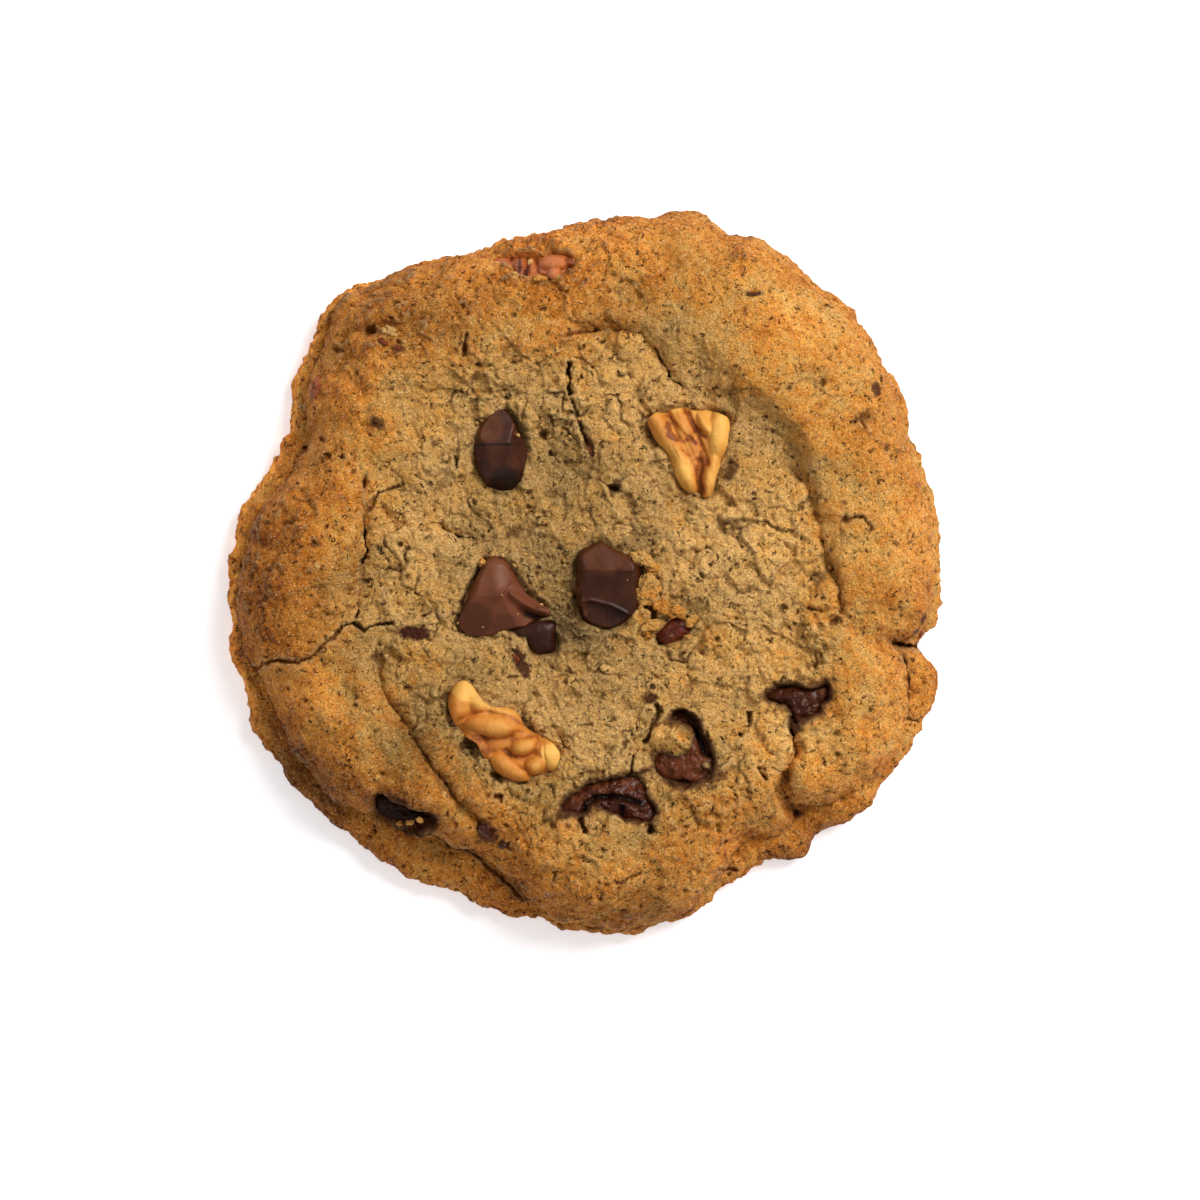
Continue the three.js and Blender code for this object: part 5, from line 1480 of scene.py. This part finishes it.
bits("clods", [
    [5.0, 5.8, -0.3, 1.9, 1.2, 0.9, 20], [8.1, 7.2, -0.3, 1.3, 1.0, 0.8, 0],
    [10.6, 3.4, -0.2, 1.2, 0.9, 0.8, 60], [11.6, -1.4, -0.1, 1.3, 1.1, 0.8, 0],
    [15.4, 4.2, -0.3, 2.0, 1.3, 0.9, -20], [-2.9, 22.7, -0.3, 1.4, 1.0, 0.8, 0],
    [-17.4, 8.4, -0.3, 2.0, 1.2, 0.9, 10], [-13.2, 8.6, -0.3, 1.5, 1.0, 0.8, -30],
    [-15.0, -10.8, -0.2, 1.8, 1.2, 0.9, 0], [-19.2, -1.6, -0.3, 1.4, 1.1, 0.8, 40],
    [1.2, 9.6, -0.3, 1.5, 1.0, 0.8, 30], [18.6, -1.8, -0.3, 1.5, 1.1, 0.8, 0],
    [22.4, 5.2, -0.3, 1.6, 1.1, 0.8, 70], [-3.4, -14.6, -0.3, 1.6, 1.1, 0.8, 10],
    [3.8, -13.2, -0.3, 1.8, 1.2, 0.8, -20],
], 4, crumb_look, lumpy=0.8, browning=0.08, light=1.05)
bits("pale_flakes", [
    [-5.3, -20.4, 0.8, 1.7, 1.5, 0.5, -10], [22.1, -0.9, 0.7, 1.9, 1.2, 0.5, 15],
    [-38.9, 23.0, 0.4, 0.9, 0.5, 0.35, 10], [-9.2, -19.4, 0.3, 0.8, 0.5, 0.4, 30],
    [-8.3, -15.6, 0.4, 1.2, 0.6, 0.35, -50], [18.4, 3.6, 0.4, 1.2, 0.8, 0.4, 10],
    [1.2, -35.1, 0.5, 0.8, 0.5, 0.3, 0], [-7.5, 42.9, 2.0, 0.4, 0.3, 0.3, 40],
], 4, crumb_look, lumpy=0.5, browning=-0.1, light=1.15)
bits("tiny_crumbs", [
    [-12.7, 2.3, 1.4, 0.25, 0.2, 0.2, 0], [-11.3, 2.2, 1.5, 0.2, 0.28, 0.2, 0],
    [-9.7, 0.8, 1.5, 0.36, 0.2, 0.2, -40], [-6.0, -4.6, 1.8, 0.28, 0.18, 0.2, 0],
    [-11.4, -3.3, 3.5, 0.12, 0.12, 0.12, 0], [-9.2, -5.9, 2.4, 0.14, 0.12, 0.12, 0],
    [-14.1, -7.7, 1.3, 0.13, 0.11, 0.11, 0], [-17.6, -7.2, 0.8, 0.2, 0.14, 0.14, 60],
    [14.6, 22.8, 1.6, 0.16, 0.3, 0.2, 0], [1.8, -8.2, 0.8, 0.3, 0.26, 0.24, 0],
    [-9.2, 18.9, 2.1, 0.28, 0.2, 0.2, -30], [6.0, -1.2, 3.2, 0.1, 0.1, 0.1, 0],
], 3, crumb_look, lumpy=0.4, browning=-0.2)
bits("red_crumbs", [
    [-27.8, 31.8, 0.2, 0.7, 0.4, 0.35, -40], [-25.9, 30.9, 0.1, 0.5, 0.3, 0.3, 10],
    [-24.6, -9.6, 0.1, 0.7, 0.5, 0.4, 0], [-9.4, -12.0, 0.3, 0.9, 0.5, 0.4, 100],
    [-8.4, -13.8, 0.2, 0.6, 0.4, 0.4, 70], [9.2, -17.5, 0.2, 0.8, 0.6, 0.45, 0],
    [0.9, 16.9, -0.1, 0.35, 1.6, 0.4, 16], [46.6, -8.9, 0.3, 0.7, 0.6, 0.5, 20],
], 4, shiny_nut_look, lumpy=0.7, masks=NUT_MASKS)
bits("chocolate_bits", [
    [-13.6, -35.8, 0.5, 1.35, 1.0, 1.0, -55], [-11.3, -38.0, 0.0, 0.7, 0.5, 0.5, 20],
    [45.4, -8.3, 0.2, 1.2, 0.6, 0.6, 15], [-23.9, -8.3, 0.0, 0.9, 0.5, 0.45, 0],
    [-22.4, -8.9, 0.0, 0.8, 0.5, 0.45, -30], [-25.2, -9.0, -0.1, 0.4, 0.3, 0.3, 0],
    [46.9, -6.2, 0.2, 0.4, 0.6, 0.4, 10],
], 3, melted_look, lumpy=0.3, masks=DROP_MASKS)
bits("nut_bits", [
    [-36.9, 25.4, 0.4, 1.1, 1.5, 0.9, 10],
], 4, skin_look, lumpy=0.6, masks={"skin": 0.8, "groove": 0.25})
bits("pale_nut_bits", [
    [-26.9, 33.2, 0.0, 1.1, 0.6, 0.6, -30],
], 4, crumb_look, lumpy=0.6, browning=0.0)
bits("fine_crumbs", scattered_crumbs(420, low=0.13, high=0.42, seed=171), 2, crumb_look, lumpy=0.6,
     browning=0.12, light=1.1)


# Floor, light and camera

FLOOR_HALF = 3.0  # half the side of the white table
FLOOR_GLOW = 0.46  # it is lit from below, so that shadows on it stay faint
KEY_PLACE = (0.70, 0.62, 0.92)  # the lamp, up at the right and towards the top of the picture
KEY_SIZE = 0.75
KEY_POWER = 17.3
SKY = 0.44  # light from all round
CAMERA_HEIGHT = 1.2
MIDDLE_LEVEL = 0.011  # height of the cookie's middle
FRAME_WIDTH = 0.16667  # what the picture spans at that height
LOOK_AT = (2.17 * MM, -3.97 * MM)
SENSOR = 36  # width of the camera's sensor, in millimetres


def floor_material():
    n = Nodes("white_floor")
    colour = n.mix(n.span(n.noise(40, 2), 0.3, 0.7), (0.93, 0.93, 0.93), (0.95, 0.95, 0.95))
    n.set(Base_Color=colour, Roughness=0.7)
    n.set(Emission_Color=(1, 0.96, 0.97, 1), Emission_Strength=FLOOR_GLOW)
    return n.material


floor_mesh = bpy.data.meshes.new("floor")
floor_corners = [(FLOOR_HALF * x, FLOOR_HALF * y, 0) for x, y in ((-1, -1), (1, -1), (1, 1), (-1, 1))]
floor_mesh.from_pydata(floor_corners, [], [(0, 1, 2, 3)])
floor_mesh.materials.append(floor_material())
floor = bpy.data.objects.new("floor", floor_mesh)
bpy.context.scene.collection.objects.link(floor)

key_data = bpy.data.lights.new("key", "AREA")
key_data.shape = "DISK"
key_data.size = KEY_SIZE
key_data.energy = KEY_POWER
key = bpy.data.objects.new("key", key_data)
key.location = KEY_PLACE
key.rotation_euler = (-Vector(KEY_PLACE)).to_track_quat("-Z", "Y").to_euler()
bpy.context.scene.collection.objects.link(key)

world = bpy.data.worlds.new("studio")
world.use_nodes = True
background = world.node_tree.nodes["Background"]
background.inputs["Color"].default_value = (1, 1, 1, 1)
background.inputs["Strength"].default_value = SKY
bpy.context.scene.world = world

camera_data = bpy.data.cameras.new("camera")
camera_data.sensor_width = SENSOR
camera_data.lens = SENSOR * (CAMERA_HEIGHT - MIDDLE_LEVEL) / FRAME_WIDTH
camera_data.clip_start = 0.01
camera = bpy.data.objects.new("camera", camera_data)
camera.location = (*LOOK_AT, CAMERA_HEIGHT)
bpy.context.scene.collection.objects.link(camera)
bpy.context.scene.camera = camera

view = bpy.context.scene.view_settings
view.view_transform = "Standard"
view.look = "None"
view.exposure = 0
view.gamma = 1
